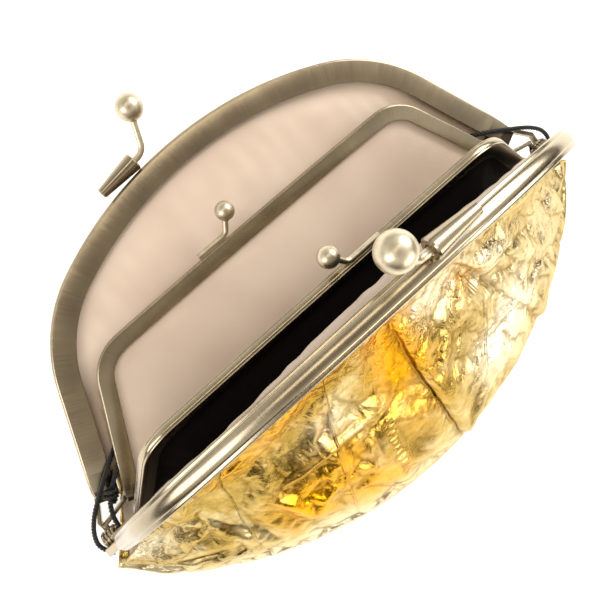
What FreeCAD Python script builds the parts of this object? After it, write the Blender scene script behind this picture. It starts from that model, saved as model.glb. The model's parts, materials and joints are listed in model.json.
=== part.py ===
import FreeCAD
import Part
import Sketcher

import math
import os

from FreeCAD import Placement, Rotation, Vector

# Kiss lock frame purse, lying open on its back.
# X runs along the hinge line, Y points from the hinges to the apex of the rear frame half, Z is up.
# The origin is on the table, under the middle of the hinge line. Lengths are in mm, angles in degrees.
# A frame half is drawn closed and flat, below the parting plane, with the hinge axis as its X axis.

SIZES = {
    # Hinge line and how far each half is swung up from the rear outer half
    "hinge_height": 9.5,
    "opening_angle": 73.1,
    "rear_inner_angle": 8.0,
    "front_inner_angle": 58.0,
    "parting_gap": 0.15,
    # Outer frame halves: an arch of two leaning sides, two corners and one long top curve
    "outer_half_width": 88.7,
    "outer_lean": 25.5,
    "outer_corner_radius": 44.6,
    "outer_top_radius": 118.1,
    "outer_apex": 72.3,
    "outer_face_width": 6.5,
    "outer_depth": 5.2,
    "outer_wall": 0.7,
    "outer_end": 10.0,
    "outer_bead_half": 1.7,
    "outer_bead_height": 0.7,
    # Inner frame halves, which carry the coin pouch and nest inside the outer ones
    "inner_half_width": 80.0,
    "inner_lean": 30.0,
    "inner_corner_radius": 14.0,
    "inner_top_radius": 3000.0,
    "inner_apex": 43.0,
    "inner_face_width": 4.3,
    "inner_depth": 2.8,
    "inner_wall": 0.6,
    "inner_end": 5.0,
    "inner_bead_half": 0.8,
    "inner_bead_height": 0.25,
    # Hinge ears, which lie side by side on the rivet
    "ear_face": 88.5,
    "ear_radius": 3.0,
    "ear_thickness": 0.9,
    "ear_gap": 0.15,
    "neck_clearance": 0.4,
    "neck_overlap": 1.5,
    "neck_step": 0.6,
    "rivet_diameter": 2.0,
    "rivet_clearance": 0.05,
    "rivet_head_diameter": 3.8,
    "rivet_head_height": 0.8,
    # Outer kiss lock: a cone socket on the frame's edge, a bent wire and a ball
    "socket_length": 12.8,
    "socket_wide_diameter": 5.2,
    "socket_narrow_diameter": 3.0,
    "socket_wide_x": 12.5,
    "socket_tilt": 6.3,
    "socket_setback": 1.0,
    "socket_gap": 0.55,
    "socket_bore_depth": 6.0,
    "outer_ball_diameter": 7.6,
    "outer_ball_x": 4.5,
    "outer_ball_rise": 13.3,
    "outer_ball_lean": 2.4,
    "outer_wire_diameter": 1.8,
    "outer_wire_bend": 4.0,
    "outer_wire_exit": 3.5,
    # Inner kiss lock: a bent wire soldered along the top edge, and a ball
    "inner_ball_diameter": 5.5,
    "inner_ball_x": 3.5,
    "inner_ball_rise": 6.5,
    "inner_ball_lean": 0.6,
    "inner_wire_diameter": 1.6,
    "inner_wire_bend": 2.6,
    "inner_foot_corner_x": 7.0,
    "inner_foot_length": 10.0,
    "inner_foot_setback": 1.4,
    "inner_foot_gap": 0.35,
    "ball_bore_depth": 2.0,
    "wire_fit": 0.02,
    # Leather, lining and pouch
    "leather_thickness": 1.0,
    "lining_thickness": 0.5,
    "pouch_thickness": 0.45,
    "layer_gap": 0.2,
    "channel_seat": 1.4,
    "mouth_run": 1.5,
    "outer_cord_diameter": 1.3,
    "inner_cord_diameter": 0.6,
    "cord_gap": 0.15,
    "bag_half_width": 92.0,
    "bag_side_drop": 8.0,
    "bag_depth": 54.0,
    "bag_seam_height": 6.0,
    "bag_fall": 24.0,
    "bag_belly": 26.0,
    "table_press": 0.3,
    "lining_lift": 2.2,
    "fold_height": 2.4,
    "pleat_run": 14.0,
    "ridge_width": 7.0,
    "pouch_half_width": 66.0,
    "pouch_side_drop": 6.0,
    "pouch_depth": 36.0,
    "pouch_seam_height": 7.5,
    "pouch_fall": 8.0,
    "pouch_belly": 9.0,
    # Thin black cord tied round each hinge
    "tie_diameter": 1.4,
}

# Routes of the tie cords, in mm from the hinge line's middle, from inside the purse round the hinge
LEFT_TIE_ROUTE = [
    (-67.4, 20.0, -2.5),
    (-71.6, 17.6, -0.2),
    (-74.8, 15.8, 2.0),
    (-80.6, 12.0, 2.6),
    (-85.6, 8.6, 1.6),
    (-89.9, 4.2, -0.4),
    (-92.2, -0.8, -2.2),
    (-90.6, -5.0, -3.9),
]
RIGHT_TIE_ROUTE = [
    (67.8, 19.6, -2.5),
    (72.0, 17.2, -0.2),
    (75.2, 15.4, 2.0),
    (80.6, 12.0, 2.6),
    (86.4, 8.4, 2.0),
    (90.8, 4.2, 0.2),
    (92.0, -1.2, -2.3),
    (90.6, -5.0, -3.9),
]

# Main folds of the front leather, each a line of points given as share across the sheet and share down it, and
# a share of the fold height. A pleat lies over its neighbour and slopes away; a ridge is rounded.
FRONT_PLEATS = [
    ([(0.0, 0.0), (0.04, 0.23), (0.06, 0.44), (0.07, 0.64), (0.09, 0.96)], 1.0),
    ([(0.17, 0.02), (0.33, 0.26), (0.46, 0.64), (0.5, 0.92)], 0.8),
    ([(-0.3, 0.02), (-0.22, 0.2), (-0.11, 0.47), (-0.12, 0.85)], 0.55),
]
FRONT_RIDGES = [
    ([(-0.49, 0.56), (-0.35, 0.51), (-0.23, 0.49)], 0.8),
    ([(-0.94, 0.73), (-0.76, 0.64), (-0.55, 0.6)], 0.6),
    ([(-0.94, 0.92), (-0.74, 0.86), (-0.57, 0.84)], 0.5),
    ([(-0.25, 0.56), (-0.27, 0.74), (-0.29, 0.92)], 0.45),
    ([(0.26, 0.22), (0.54, 0.28), (0.84, 0.45)], 0.6),
    ([(0.5, 0.5), (0.7, 0.6), (0.88, 0.73)], 0.6),
    ([(0.11, 0.42), (0.21, 0.48), (0.31, 0.44)], 0.5),
    ([(0.12, 0.73), (0.24, 0.8), (0.4, 0.72)], 0.6),
]
PLEAT_EDGE_SHARE = 0.3
PLEAT_SINK_SHARE = 0.4
FOLD_TAPER = 0.16
FOLD_START = 0.07

# How many points each soft sheet is drawn through: across it, and down it
SHEET_COLUMNS = 29
SHEET_ROWS = (0.08, 0.2, 0.36, 0.52, 0.68, 0.82, 0.92, 1.0)
FOLDED_COLUMNS = 43
FOLDED_ROWS = tuple(step / 15 for step in range(1, 16))
LINING_END = 0.93
BELLY_SHARE = 0.35
SEAM_SHARE = 0.2
# How far from upright the sheets stand where they meet their seam, in degrees: outwards, or inwards if negative
BELLY_LEAN, BELLY_END_LEAN = -28, 15
POUCH_FRONT_LEAN = 15
POUCH_REAR_LEAN = 60
TIE_ARC_SHARE = 0.45

doc = FreeCAD.newDocument("purse")
sheet = doc.addObject("Spreadsheet::Sheet", "sizes")
for row, (alias, value) in enumerate(SIZES.items(), start=1):
    sheet.set(f"A{row}", alias)
    sheet.set(f"B{row}", str(value))
    sheet.setAlias(f"B{row}", alias)
doc.recompute()

subparts = []


def size(alias):
    """A driving dimension, read from the sheet."""
    return float(sheet.get(alias))


def value_of(expression):
    """The number that an expression on the sheet gives."""
    result = sheet.evalExpression(expression)
    return float(getattr(result, "Value", result))


def settle():
    """Recomputes the document and stops at the first object that failed."""
    doc.recompute()
    for item in doc.Objects:
        if "Invalid" in item.State or "Error" in item.State:
            raise RuntimeError(f"{item.Label} failed: {item.State} {item.getStatusString()}")


def keep(item, label, placement):
    """Names a finished sub-part, puts it in its place and lists it for writing."""
    item.Label = label
    item.Placement = placement
    subparts.append(item)
    return item


# Where each frame half stands
HINGE_AXIS = Vector(0, 0, size("hinge_height"))
TURN = Rotation(Vector(0, 1, 0), 180)


def swung(angle, turned):
    """Placement of a half: turned over for a front half, then swung about the hinge axis."""
    swing = Rotation(Vector(1, 0, 0), angle)
    return Placement(HINGE_AXIS, swing * TURN if turned else swing)


HALVES = {
    "rear_outer": swung(0.0, False),
    "front_outer": swung(size("opening_angle"), True),
    "rear_inner": swung(size("rear_inner_angle"), False),
    "front_inner": swung(size("front_inner_angle"), True),
}
ON_HINGE_LINE = Placement(HINGE_AXIS, Rotation())


# Arch outline shared by frames, packing cords and sheets
class Arch:
    """Right half of an arch, moved inwards by an inset: side line, corner arc and top arc."""

    def __init__(self, kind, inset=0.0, end=None):
        lean = math.radians(size(f"{kind}_lean"))
        self.end = size(f"{kind}_end") if end is None else end
        self.corner_radius = size(f"{kind}_corner_radius") - inset
        self.top_radius = size(f"{kind}_top_radius") - inset
        self.apex = size(f"{kind}_apex") - inset
        foot = size(f"{kind}_half_width") - inset / math.cos(lean)
        along = Vector(-math.sin(lean), math.cos(lean), 0)
        outward = Vector(math.cos(lean), math.sin(lean), 0)
        self.top_centre = Vector(0, self.apex - self.top_radius, 0)
        start = Vector(foot, 0, 0) - outward * self.corner_radius
        offset = start - self.top_centre
        reach = self.top_radius - self.corner_radius
        slide = -offset.dot(along) + math.sqrt(offset.dot(along) ** 2 - offset.dot(offset) + reach ** 2)
        self.corner_centre = start + along * slide
        self.side_end = Vector(foot - self.end * math.tan(lean), self.end, 0)
        self.side_top = self.corner_centre + outward * self.corner_radius
        self.side_angle = lean
        spoke = self.corner_centre - self.top_centre
        self.top_angle = math.atan2(spoke.y, spoke.x)
        self.corner_top = self.top_centre + spoke.normalize() * self.top_radius
        self.side_length = self.side_top.distanceToPoint(self.side_end)
        self.corner_length = self.corner_radius * (self.top_angle - self.side_angle)
        self.top_length = self.top_radius * (math.pi / 2 - self.top_angle)
        self.length = self.side_length + self.corner_length + self.top_length

    def point(self, share):
        """Point on the arch: share -1 is the left end, 0 the apex and 1 the right end."""
        run = (1 - abs(share)) * self.length
        if run <= self.side_length:
            spot = self.side_end + (self.side_top - self.side_end) * (run / self.side_length)
        elif run <= self.side_length + self.corner_length:
            angle = self.side_angle + (run - self.side_length) / self.corner_radius
            spot = self.corner_centre + Vector(math.cos(angle), math.sin(angle), 0) * self.corner_radius
        else:
            angle = self.top_angle + (run - self.side_length - self.corner_length) / self.top_radius
            spot = self.top_centre + Vector(math.cos(angle), math.sin(angle), 0) * self.top_radius
        return Vector(math.copysign(spot.x, share) if share else 0.0, spot.y, 0)

    def wire(self, depth):
        """The whole arch as lines and arcs, at a depth below the parting plane."""
        drop = Vector(0, 0, -depth)

        def mirrored(spot):
            return Vector(-spot.x, spot.y, spot.z)

        middle = (self.side_angle + self.top_angle) / 2
        corner_middle = self.corner_centre + Vector(math.cos(middle), math.sin(middle), 0) * self.corner_radius
        crown = Vector(0, self.apex, 0)
        edges = [
            Part.LineSegment(self.side_end + drop, self.side_top + drop),
            Part.Arc(self.side_top + drop, corner_middle + drop, self.corner_top + drop),
            Part.Arc(self.corner_top + drop, crown + drop, mirrored(self.corner_top) + drop),
            Part.Arc(mirrored(self.corner_top) + drop, mirrored(corner_middle) + drop,
                     mirrored(self.side_top) + drop),
            Part.LineSegment(mirrored(self.side_top) + drop, mirrored(self.side_end) + drop),
        ]
        return Part.Wire([edge.toShape() for edge in edges])


# Sketches
def origin_plane(body, role):
    return next(item for item in body.Origin.OriginFeatures if item.Role == role)


def new_sketch(body, name, role, offset=None):
    """Sketch on one of the body's origin planes, lifted off it by an expression."""
    sketch = body.newObject("Sketcher::SketchObject", name)
    sketch.AttachmentSupport = [(origin_plane(body, role), "")]
    sketch.MapMode = "FlatFace"
    if offset:
        sketch.setExpression("AttachmentOffset.Base.z", offset)
    return sketch


def pin_point(sketch, edge, end, spot):
    """Ties one end of a sketch edge to two expressions on the sheet."""
    for kind, expression in zip(("DistanceX", "DistanceY"), spot):
        index = sketch.addConstraint(Sketcher.Constraint(kind, -1, 1, edge, end, value_of(expression)))
        sketch.setExpression(f"Constraints[{index}]", expression)


def bind_radius(sketch, edge, radius):
    """Ties the radius of a sketch arc or circle to an expression on the sheet."""
    index = sketch.addConstraint(Sketcher.Constraint("Radius", edge, value_of(radius)))
    sketch.setExpression(f"Constraints[{index}]", radius)


def draw_outline(sketch, corners, bulges=None):
    """Closed outline through corners given as expressions; bulges gives an edge's arc middle and radius."""
    bulges = bulges or {}
    spots = [Vector(value_of(across), value_of(up), 0) for across, up in corners]
    for index, spot in enumerate(spots):
        after = (index + 1) % len(spots)
        if index in bulges:
            across, up, radius = bulges[index]
            edge = sketch.addGeometry(Part.Arc(spot, Vector(value_of(across), value_of(up), 0), spots[after]))
            first = min((1, 2), key=lambda end: sketch.getPoint(edge, end).distanceToPoint(spot))
            pin_point(sketch, edge, first, corners[index])
            pin_point(sketch, edge, 3 - first, corners[after])
            bind_radius(sketch, edge, radius)
        else:
            edge = sketch.addGeometry(Part.LineSegment(spot, spots[after]))
            pin_point(sketch, edge, 1, corners[index])
            pin_point(sketch, edge, 2, corners[after])


def draw_arch(sketch, kind):
    """Half of the arch, from the crown to the right end: top arc, corner arc and side line."""
    arch = Arch(kind)
    crown_angle = math.pi / 2
    normal = Vector(0, 0, 1)
    top = sketch.addGeometry(Part.ArcOfCircle(
        Part.Circle(arch.top_centre, normal, arch.top_radius), arch.top_angle, crown_angle))
    corner = sketch.addGeometry(Part.ArcOfCircle(
        Part.Circle(arch.corner_centre, normal, arch.corner_radius), arch.side_angle, arch.top_angle))
    side = sketch.addGeometry(Part.LineSegment(arch.side_top, arch.side_end))
    sketch.addConstraint(Sketcher.Constraint("PointOnObject", top, 3, -2))
    sketch.addConstraint(Sketcher.Constraint("Tangent", top, 1, corner, 2))
    sketch.addConstraint(Sketcher.Constraint("Tangent", corner, 1, side, 1))
    pin_point(sketch, top, 2, ("0", f"sizes.{kind}_apex"))
    bind_radius(sketch, top, f"sizes.{kind}_top_radius")
    bind_radius(sketch, corner, f"sizes.{kind}_corner_radius")
    foot = f"sizes.{kind}_half_width - sizes.{kind}_end * tan(sizes.{kind}_lean * 1 deg)"
    pin_point(sketch, side, 2, (foot, f"sizes.{kind}_end"))


# Frame halves
def ear_edge(layer, outer):
    """Outer or inner face of the ear that is so many layers in from the rivet's head."""
    steps = f"sizes.ear_face - {layer} * (sizes.ear_thickness + sizes.ear_gap)"
    return steps if outer else f"{steps} - sizes.ear_thickness"


def add_ear(body, kind, layer, sign, name):
    """Neck from the channel's end to the hinge, then a round ear on the rivet."""
    mark = "" if sign > 0 else "-1 * "
    outer, inner = ear_edge(layer, True), ear_edge(layer, False)
    tall = f"sizes.{kind}_end + sizes.neck_overlap"
    web = f"sizes.{kind}_half_width - ({tall}) * tan(sizes.{kind}_lean * 1 deg)"
    knee = "sizes.ear_radius + sizes.neck_clearance"
    if kind == "outer":
        knee += " + sizes.ear_thickness + sizes.neck_clearance"
    corners = [
        (inner, "0"),
        (outer, "0"),
        (outer, f"{knee} + sizes.ear_thickness"),
        (f"{web}", tall),
        (f"{web} - sizes.ear_thickness", f"{tall} - sizes.ear_thickness"),
        (inner, knee),
    ]
    neck_sketch = new_sketch(body, f"{name}_neck_outline", "XY_Plane",
                             f"sizes.neck_step - sizes.{kind}_depth")
    draw_outline(neck_sketch, [(f"{mark}({across})", up) for across, up in corners])
    neck = body.newObject("PartDesign::Pad", f"{name}_neck")
    neck.Profile = neck_sketch
    neck.setExpression("Length", f"sizes.{kind}_depth - sizes.neck_step - sizes.parting_gap")
    ear_sketch = new_sketch(body, f"{name}_ear_outline", "YZ_Plane",
                            inner if sign > 0 else f"-1 * ({outer})")
    draw_circle(ear_sketch, "sizes.ear_radius")
    ear = body.newObject("PartDesign::Pad", f"{name}_ear")
    ear.Profile = ear_sketch
    ear.setExpression("Length", "sizes.ear_thickness")


def draw_circle(sketch, radius):
    """Circle about the hinge axis, its radius bound to an expression."""
    circle = Part.Circle(Vector(), Vector(0, 0, 1), value_of(radius))
    edge = sketch.addGeometry(circle)
    sketch.addConstraint(Sketcher.Constraint("Coincident", edge, 3, -1, 1))
    bind_radius(sketch, edge, radius)


def make_frame(label, kind, right_layer, left_layer):
    """Channel bent to the arch, open towards the purse, with an ear at each end."""
    body = doc.addObject("PartDesign::Body", label)
    path = new_sketch(body, f"{label}_path", "XY_Plane")
    draw_arch(path, kind)
    apex, width = f"sizes.{kind}_apex", f"sizes.{kind}_face_width"
    depth, wall = f"sizes.{kind}_depth", f"sizes.{kind}_wall"
    face, back = "-1 * sizes.parting_gap", f"-1 * {depth}"
    middle = f"-0.5 * ({depth} + sizes.parting_gap)"
    half, height = f"sizes.{kind}_bead_half", f"sizes.{kind}_bead_height"
    section = new_sketch(body, f"{label}_section", "YZ_Plane")
    draw_outline(section, [
        (f"{apex} - {width}", face),
        (apex, face),
        (apex, f"{middle} + {half}"),
        (apex, f"{middle} - {half}"),
        (apex, back),
        (f"{apex} - {width}", back),
        (f"{apex} - {width}", f"{back} + {wall}"),
        (f"{apex} - {wall}", f"{back} + {wall}"),
        (f"{apex} - {wall}", f"{face} - {wall}"),
        (f"{apex} - {width}", f"{face} - {wall}"),
    ], {2: (f"{apex} + {height}", middle, f"({half} * {half} + {height} * {height}) / (2 * {height})")})
    settle()
    channel = body.newObject("PartDesign::AdditivePipe", f"{label}_channel")
    channel.Profile = section
    channel.Spine = (path, ["Edge1", "Edge2", "Edge3"])
    settle()
    mirror = body.newObject("PartDesign::Mirrored", f"{label}_mirror")
    mirror.Originals = [channel]
    mirror.MirrorPlane = (origin_plane(body, "YZ_Plane"), [""])
    body.Tip = mirror
    settle()
    add_ear(body, kind, right_layer, 1, f"{label}_right")
    add_ear(body, kind, left_layer, -1, f"{label}_left")
    reach = "sizes.ear_face + sizes.rivet_head_height"
    hole_sketch = new_sketch(body, f"{label}_rivet_circle", "YZ_Plane", reach)
    draw_circle(hole_sketch, "sizes.rivet_diameter / 2 + sizes.rivet_clearance")
    settle()
    solid_before = body.Shape.Volume
    hole = body.newObject("PartDesign::Pocket", f"{label}_rivet_holes")
    hole.Profile = hole_sketch
    hole.setExpression("Length", f"2 * ({reach})")
    settle()
    if body.Shape.Volume >= solid_before:
        raise RuntimeError(f"{label}: the rivet holes cut nothing")
    return keep(body, label, HALVES[label.replace("_frame", "")])


make_frame("rear_outer_frame", "outer", 0, 1)
make_frame("front_outer_frame", "outer", 0, 1)
make_frame("rear_inner_frame", "inner", 3, 2)
make_frame("front_inner_frame", "inner", 3, 2)


# Hinge rivets
def make_rivet(label, turn):
    """Rivet turned about the hinge axis: a flat head each side of the four ears."""
    body = doc.addObject("PartDesign::Body", label)
    profile = new_sketch(body, f"{label}_profile", "XZ_Plane")
    face = "sizes.ear_face + sizes.ear_gap"
    foot = f"{ear_edge(3, False)} - sizes.ear_gap"
    head, shank = "sizes.rivet_head_diameter / 2", "sizes.rivet_diameter / 2"
    tall = "sizes.rivet_head_height"
    draw_outline(profile, [
        (f"{foot} - {tall}", "0"),
        (f"{face} + {tall}", "0"),
        (f"{face} + {tall}", f"{shank}"),
        (f"{face} + {tall} / 2", head),
        (face, head),
        (face, shank),
        (foot, shank),
        (foot, head),
        (f"{foot} - {tall} / 2", head),
        (f"{foot} - {tall}", shank),
    ])
    settle()
    turned = body.newObject("PartDesign::Revolution", f"{label}_turned")
    turned.Profile = profile
    turned.ReferenceAxis = (profile, ["H_Axis"])
    turned.Angle = 360
    settle()
    keep(body, label, Placement(HINGE_AXIS, Rotation(Vector(0, 0, 1), turn)))


make_rivet("right_hinge_rivet", 0)
make_rivet("left_hinge_rivet", 180)


# Bent rods
def rounded_path(points, radii):
    """Straight runs through the points, each corner rounded by an arc of its own radius."""
    edges = []
    start = points[0]
    for before, corner, after, radius in zip(points, points[1:], points[2:], radii):
        back = (before - corner).normalize()
        ahead = (after - corner).normalize()
        half_turn = (math.pi - back.getAngle(ahead)) / 2
        tangent = radius * math.tan(half_turn)
        enter, leave = corner + back * tangent, corner + ahead * tangent
        inwards = (back + ahead).normalize()
        arc_middle = corner + inwards * (radius / math.cos(half_turn) - radius)
        edges.append(Part.LineSegment(start, enter).toShape())
        edges.append(Part.Arc(enter, arc_middle, leave).toShape())
        start = leave
    edges.append(Part.LineSegment(start, points[-1]).toShape())
    return Part.Wire(edges)


def rod_along(path, diameter):
    """Round rod along a path, its volume compared with its section times its length."""
    first = path.Edges[0]
    along = first.tangentAt(first.FirstParameter)
    ring = Part.Wire(Part.Circle(path.Vertexes[0].Point, along, diameter / 2).toShape())
    rod = path.makePipeShell([ring], True, False)
    expected = math.pi * diameter ** 2 / 4 * path.Length
    if abs(rod.Volume - expected) > 0.02 * expected:
        raise RuntimeError(f"rod volume {rod.Volume:.2f} should be {expected:.2f}")
    return rod


def add_shape(label, shape, placement):
    """Sub-part whose shape is worked out here from the sheet."""
    item = doc.addObject("Part::Feature", label)
    item.Shape = shape
    return keep(item, label, placement)


# Locks, drawn for a rear half: the ball stands left of the middle
def aligned(start, direction):
    """Placement that lays a primitive's Z axis along a direction."""
    return Placement(start, Rotation(Vector(0, 0, 1), direction))


def make_ball(half, kind, centre, wire_start):
    """Ball bored on its underside for the wire's end."""
    label = f"{half}_lock_ball"
    sphere = doc.addObject("Part::Sphere", f"{label}_sphere")
    sphere.setExpression("Radius", f"sizes.{kind}_ball_diameter / 2")
    sphere.Placement = Placement(centre, Rotation())
    bore = doc.addObject("Part::Cylinder", f"{label}_bore")
    bore.setExpression("Radius", f"sizes.{kind}_wire_diameter / 2 + sizes.wire_fit")
    bore.setExpression("Height", f"sizes.{kind}_ball_diameter / 2")
    stalk = (centre - wire_start).normalize()
    sunk = size(f"{kind}_ball_diameter") / 2 - size("ball_bore_depth") - size("wire_fit")
    bore.Placement = aligned(centre - stalk * sunk, stalk * -1)
    ball = doc.addObject("Part::Cut", label)
    ball.Base, ball.Tool = sphere, bore
    keep(ball, label, HALVES[half])


def ball_end(kind, centre, corner):
    """Where the wire stops inside the ball."""
    stalk = (centre - corner).normalize()
    return centre - stalk * (size(f"{kind}_ball_diameter") / 2 - size("ball_bore_depth"))


def make_outer_lock(half):
    """Cone socket lying on the frame's edge, a wire bent up out of its wide end, and a ball."""
    arch = Arch("outer")
    wide_x = size("socket_wide_x")
    rim = arch.top_centre.y + math.sqrt(arch.top_radius ** 2 - wide_x ** 2)
    stand_off = size("socket_wide_diameter") / 2 + size("socket_gap")
    wide = Vector(-wide_x, rim + stand_off, -size("socket_setback"))
    tilt = math.radians(size("socket_tilt"))
    along = Vector(math.cos(tilt), math.sin(tilt), 0)
    label = f"{half}_lock_socket"
    cone = doc.addObject("Part::Cone", f"{label}_cone")
    cone.setExpression("Radius1", "sizes.socket_narrow_diameter / 2")
    cone.setExpression("Radius2", "sizes.socket_wide_diameter / 2")
    cone.setExpression("Height", "sizes.socket_length")
    cone.Placement = aligned(wide - along * size("socket_length"), along)
    bore = doc.addObject("Part::Cylinder", f"{label}_bore")
    bore.setExpression("Radius", "sizes.outer_wire_diameter / 2 + sizes.wire_fit")
    bore.setExpression("Height", "sizes.socket_bore_depth + sizes.wire_fit")
    bore.Placement = aligned(wide, along * -1)
    socket = doc.addObject("Part::Cut", label)
    socket.Base, socket.Tool = cone, bore
    keep(socket, label, HALVES[half])
    corner = wide + along * size("outer_wire_exit")
    centre = Vector(-size("outer_ball_x"), size("outer_apex") + size("outer_ball_rise"), size("outer_ball_lean"))
    stops = [wide - along * size("socket_bore_depth"), corner, ball_end("outer", centre, corner)]
    path = rounded_path(stops, [size("outer_wire_bend")])
    add_shape(f"{half}_lock_wire", rod_along(path, size("outer_wire_diameter")), HALVES[half])
    make_ball(half, "outer", centre, corner)


def make_inner_lock(half):
    """Wire with a straight foot along the frame's top edge, bent up to a small ball."""
    lift = size("inner_apex") + size("inner_wire_diameter") / 2 + size("inner_foot_gap")
    corner = Vector(-size("inner_foot_corner_x"), lift, -size("inner_foot_setback"))
    foot = corner - Vector(size("inner_foot_length"), 0, 0)
    centre = Vector(-size("inner_ball_x"), size("inner_apex") + size("inner_ball_rise"), size("inner_ball_lean"))
    path = rounded_path([foot, corner, ball_end("inner", centre, corner)], [size("inner_wire_bend")])
    add_shape(f"{half}_lock_wire", rod_along(path, size("inner_wire_diameter")), HALVES[half])
    make_ball(half, "inner", centre, corner)


make_outer_lock("rear_outer")
make_outer_lock("front_outer")
make_inner_lock("rear_inner")
make_inner_lock("front_inner")


# Layers inside a channel, counted from its back wall: sheets first, then the packing cord
leather_level = size("outer_depth") - size("outer_wall") - size("layer_gap") - size("leather_thickness") / 2
lining_level = (leather_level - size("leather_thickness") / 2 - size("layer_gap")
                - size("lining_thickness") / 2)
outer_cord_level = (lining_level - size("lining_thickness") / 2 - size("cord_gap")
                    - size("outer_cord_diameter") / 2)
pouch_level = size("inner_depth") - size("inner_wall") - size("cord_gap") - size("pouch_thickness") / 2
inner_cord_level = (pouch_level - size("pouch_thickness") / 2 - size("cord_gap")
                    - size("inner_cord_diameter") / 2)


def make_packing_cord(half, kind, level):
    """Paper cord that wedges the sheets into the channel."""
    inset = size(f"{kind}_wall") + size("cord_gap") + size(f"{kind}_cord_diameter") / 2
    arch = Arch(kind, inset, size(f"{kind}_end") + size("neck_overlap") + size("ear_thickness"))
    rod = rod_along(arch.wire(level), size(f"{kind}_cord_diameter"))
    add_shape(f"{half}_packing_cord", rod, HALVES[half])


make_packing_cord("rear_outer", "outer", outer_cord_level)
make_packing_cord("front_outer", "outer", outer_cord_level)
make_packing_cord("rear_inner", "inner", inner_cord_level)
make_packing_cord("front_inner", "inner", inner_cord_level)


# Soft sheets
def ease(share):
    """Smooth step from 0 to 1."""
    share = min(max(share, 0.0), 1.0)
    return share * share * (3 - 2 * share)


def seam_point(share, half_width, side_drop, depth, height):
    """Point on a rounded lower seam: share -1 is its left end, 0 its lowest point, 1 its right end."""
    sag = depth - side_drop
    radius = (half_width ** 2 + sag ** 2) / (2 * sag)
    sweep = math.asin(half_width / radius)
    angle = share * sweep
    level = height - size("hinge_height")
    return Vector(radius * math.sin(angle), radius - depth - radius * math.cos(angle), level)


def bag_seam(share):
    return seam_point(share, size("bag_half_width"), size("bag_side_drop"), size("bag_depth"),
                      size("bag_seam_height"))


def pouch_seam(share):
    return seam_point(share, size("pouch_half_width"), size("pouch_side_drop"), size("pouch_depth"),
                      size("pouch_seam_height"))


def sheet_points(kind, half, level, seam, hang, columns=SHEET_COLUMNS, row_shares=SHEET_ROWS):
    """Grid of a sheet's middle surface, from inside the frame's channel down to its seam."""
    swing = Placement(Vector(), HALVES[half].Rotation)
    seat = size(f"{kind}_wall") + size("channel_seat") * size(f"{kind}_face_width") / size("outer_face_width")
    mouth = size(f"{kind}_face_width") + size("mouth_run")
    end = size(f"{kind}_end") + size("mouth_run")
    shares = [2 * column / (columns - 1) - 1 for column in range(columns)]
    turned = -1 if half.startswith("front") else 1
    rows = []
    for inset in (seat, (seat + mouth) / 2, mouth):
        arch = Arch(kind, inset, end)
        spots = [arch.point(share * turned) for share in shares]
        rows.append([swing.multVec(Vector(spot.x, spot.y, -level)) for spot in spots])
    headings = [(low - high).normalize() for high, low in zip(rows[1], rows[2])]
    reach = (seam(0) - rows[2][columns // 2]).Length
    for down in row_shares:
        rows.append([hang(top, heading, seam(share), down, reach)
                     for top, heading, share in zip(rows[2], headings, shares)])
    return rows


def grid_normal(rows, row, column):
    """Direction square to a grid: up from a rear sheet, out of the purse from a front one."""
    low, high = max(row - 1, 0), min(row + 1, len(rows) - 1)
    left, right = max(column - 1, 0), min(column + 1, len(rows[0]) - 1)
    return (rows[high][column] - rows[low][column]).cross(rows[row][right] - rows[row][left]).normalize()


def moved_grid(rows, distance):
    """Grid moved along its own normals, by a distance that is given for a row and column."""
    return [[spot + grid_normal(rows, row, column) * distance(row, column) for column, spot in enumerate(spots)]
            for row, spots in enumerate(rows)]


def sheet_solid(rows, thickness):
    """Closed sheet: two smooth faces through the grid moved half the thickness to each side."""
    surfaces = []
    for side in (0.5, -0.5):
        surface = Part.BSplineSurface()
        surface.interpolate(moved_grid(rows, lambda row, column: side * thickness))
        surfaces.append(surface)
    faces = [surface.toShape() for surface in surfaces]
    bounds = [surface.bounds() for surface in surfaces]
    for end in (0, 1):
        faces.append(Part.makeRuledSurface(*[surface.uIso(bound[end]).toShape()
                                             for surface, bound in zip(surfaces, bounds)]))
        faces.append(Part.makeRuledSurface(*[surface.vIso(bound[end + 2]).toShape()
                                             for surface, bound in zip(surfaces, bounds)]))
    shell = Part.Shell(faces)
    shell.sewShape()
    solid = Part.Solid(shell)
    if solid.Volume < 0:
        solid.reverse()
    return solid


def lie_on_table(top, heading, seam, down, reach):
    """A rear sheet drops from the channel to the table and rises again to the seam."""
    belly = size("leather_thickness") / 2 - size("hinge_height") - size("table_press")
    spot = top + (seam - top) * down
    fall = top.z + (belly - top.z) * ease(down / BELLY_SHARE)
    rise = ease((down - 1 + SEAM_SHARE) / SEAM_SHARE)
    return Vector(spot.x, spot.y, fall + (seam.z - fall) * rise)


def hanging(fall, belly, lean, short_lean):
    """A sheet leaves its channel straight, hangs and swells before its seam, with its own lean where it is short."""
    def hang(top, heading, seam, down, reach):
        scale = (seam - top).Length / reach
        turn = math.radians(short_lean + (lean - short_lean) * scale)
        swell = Vector(0, -math.sin(turn), math.cos(turn))
        above = top + heading * (fall * scale)
        below = seam + swell * (belly * scale)
        rest = 1 - down
        return (top * rest ** 3 + above * (3 * rest ** 2 * down)
                + below * (3 * rest * down ** 2) + seam * down ** 3)

    return hang


def lining_grid(rows, row_shares, side):
    """Grid of a lining inside its leather: close in the channel, further off in the belly, ending before the seam."""
    close = leather_level - lining_level
    shares = [0.0] * (len(rows) - len(row_shares)) + list(row_shares)
    lifts = [close + (size("lining_lift") - close) * ease(share / BELLY_SHARE) for share in shares]
    moved = moved_grid(rows, lambda row, column: side * lifts[row])
    return [spots for spots, share in zip(moved, shares) if share <= LINING_END]


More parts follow.
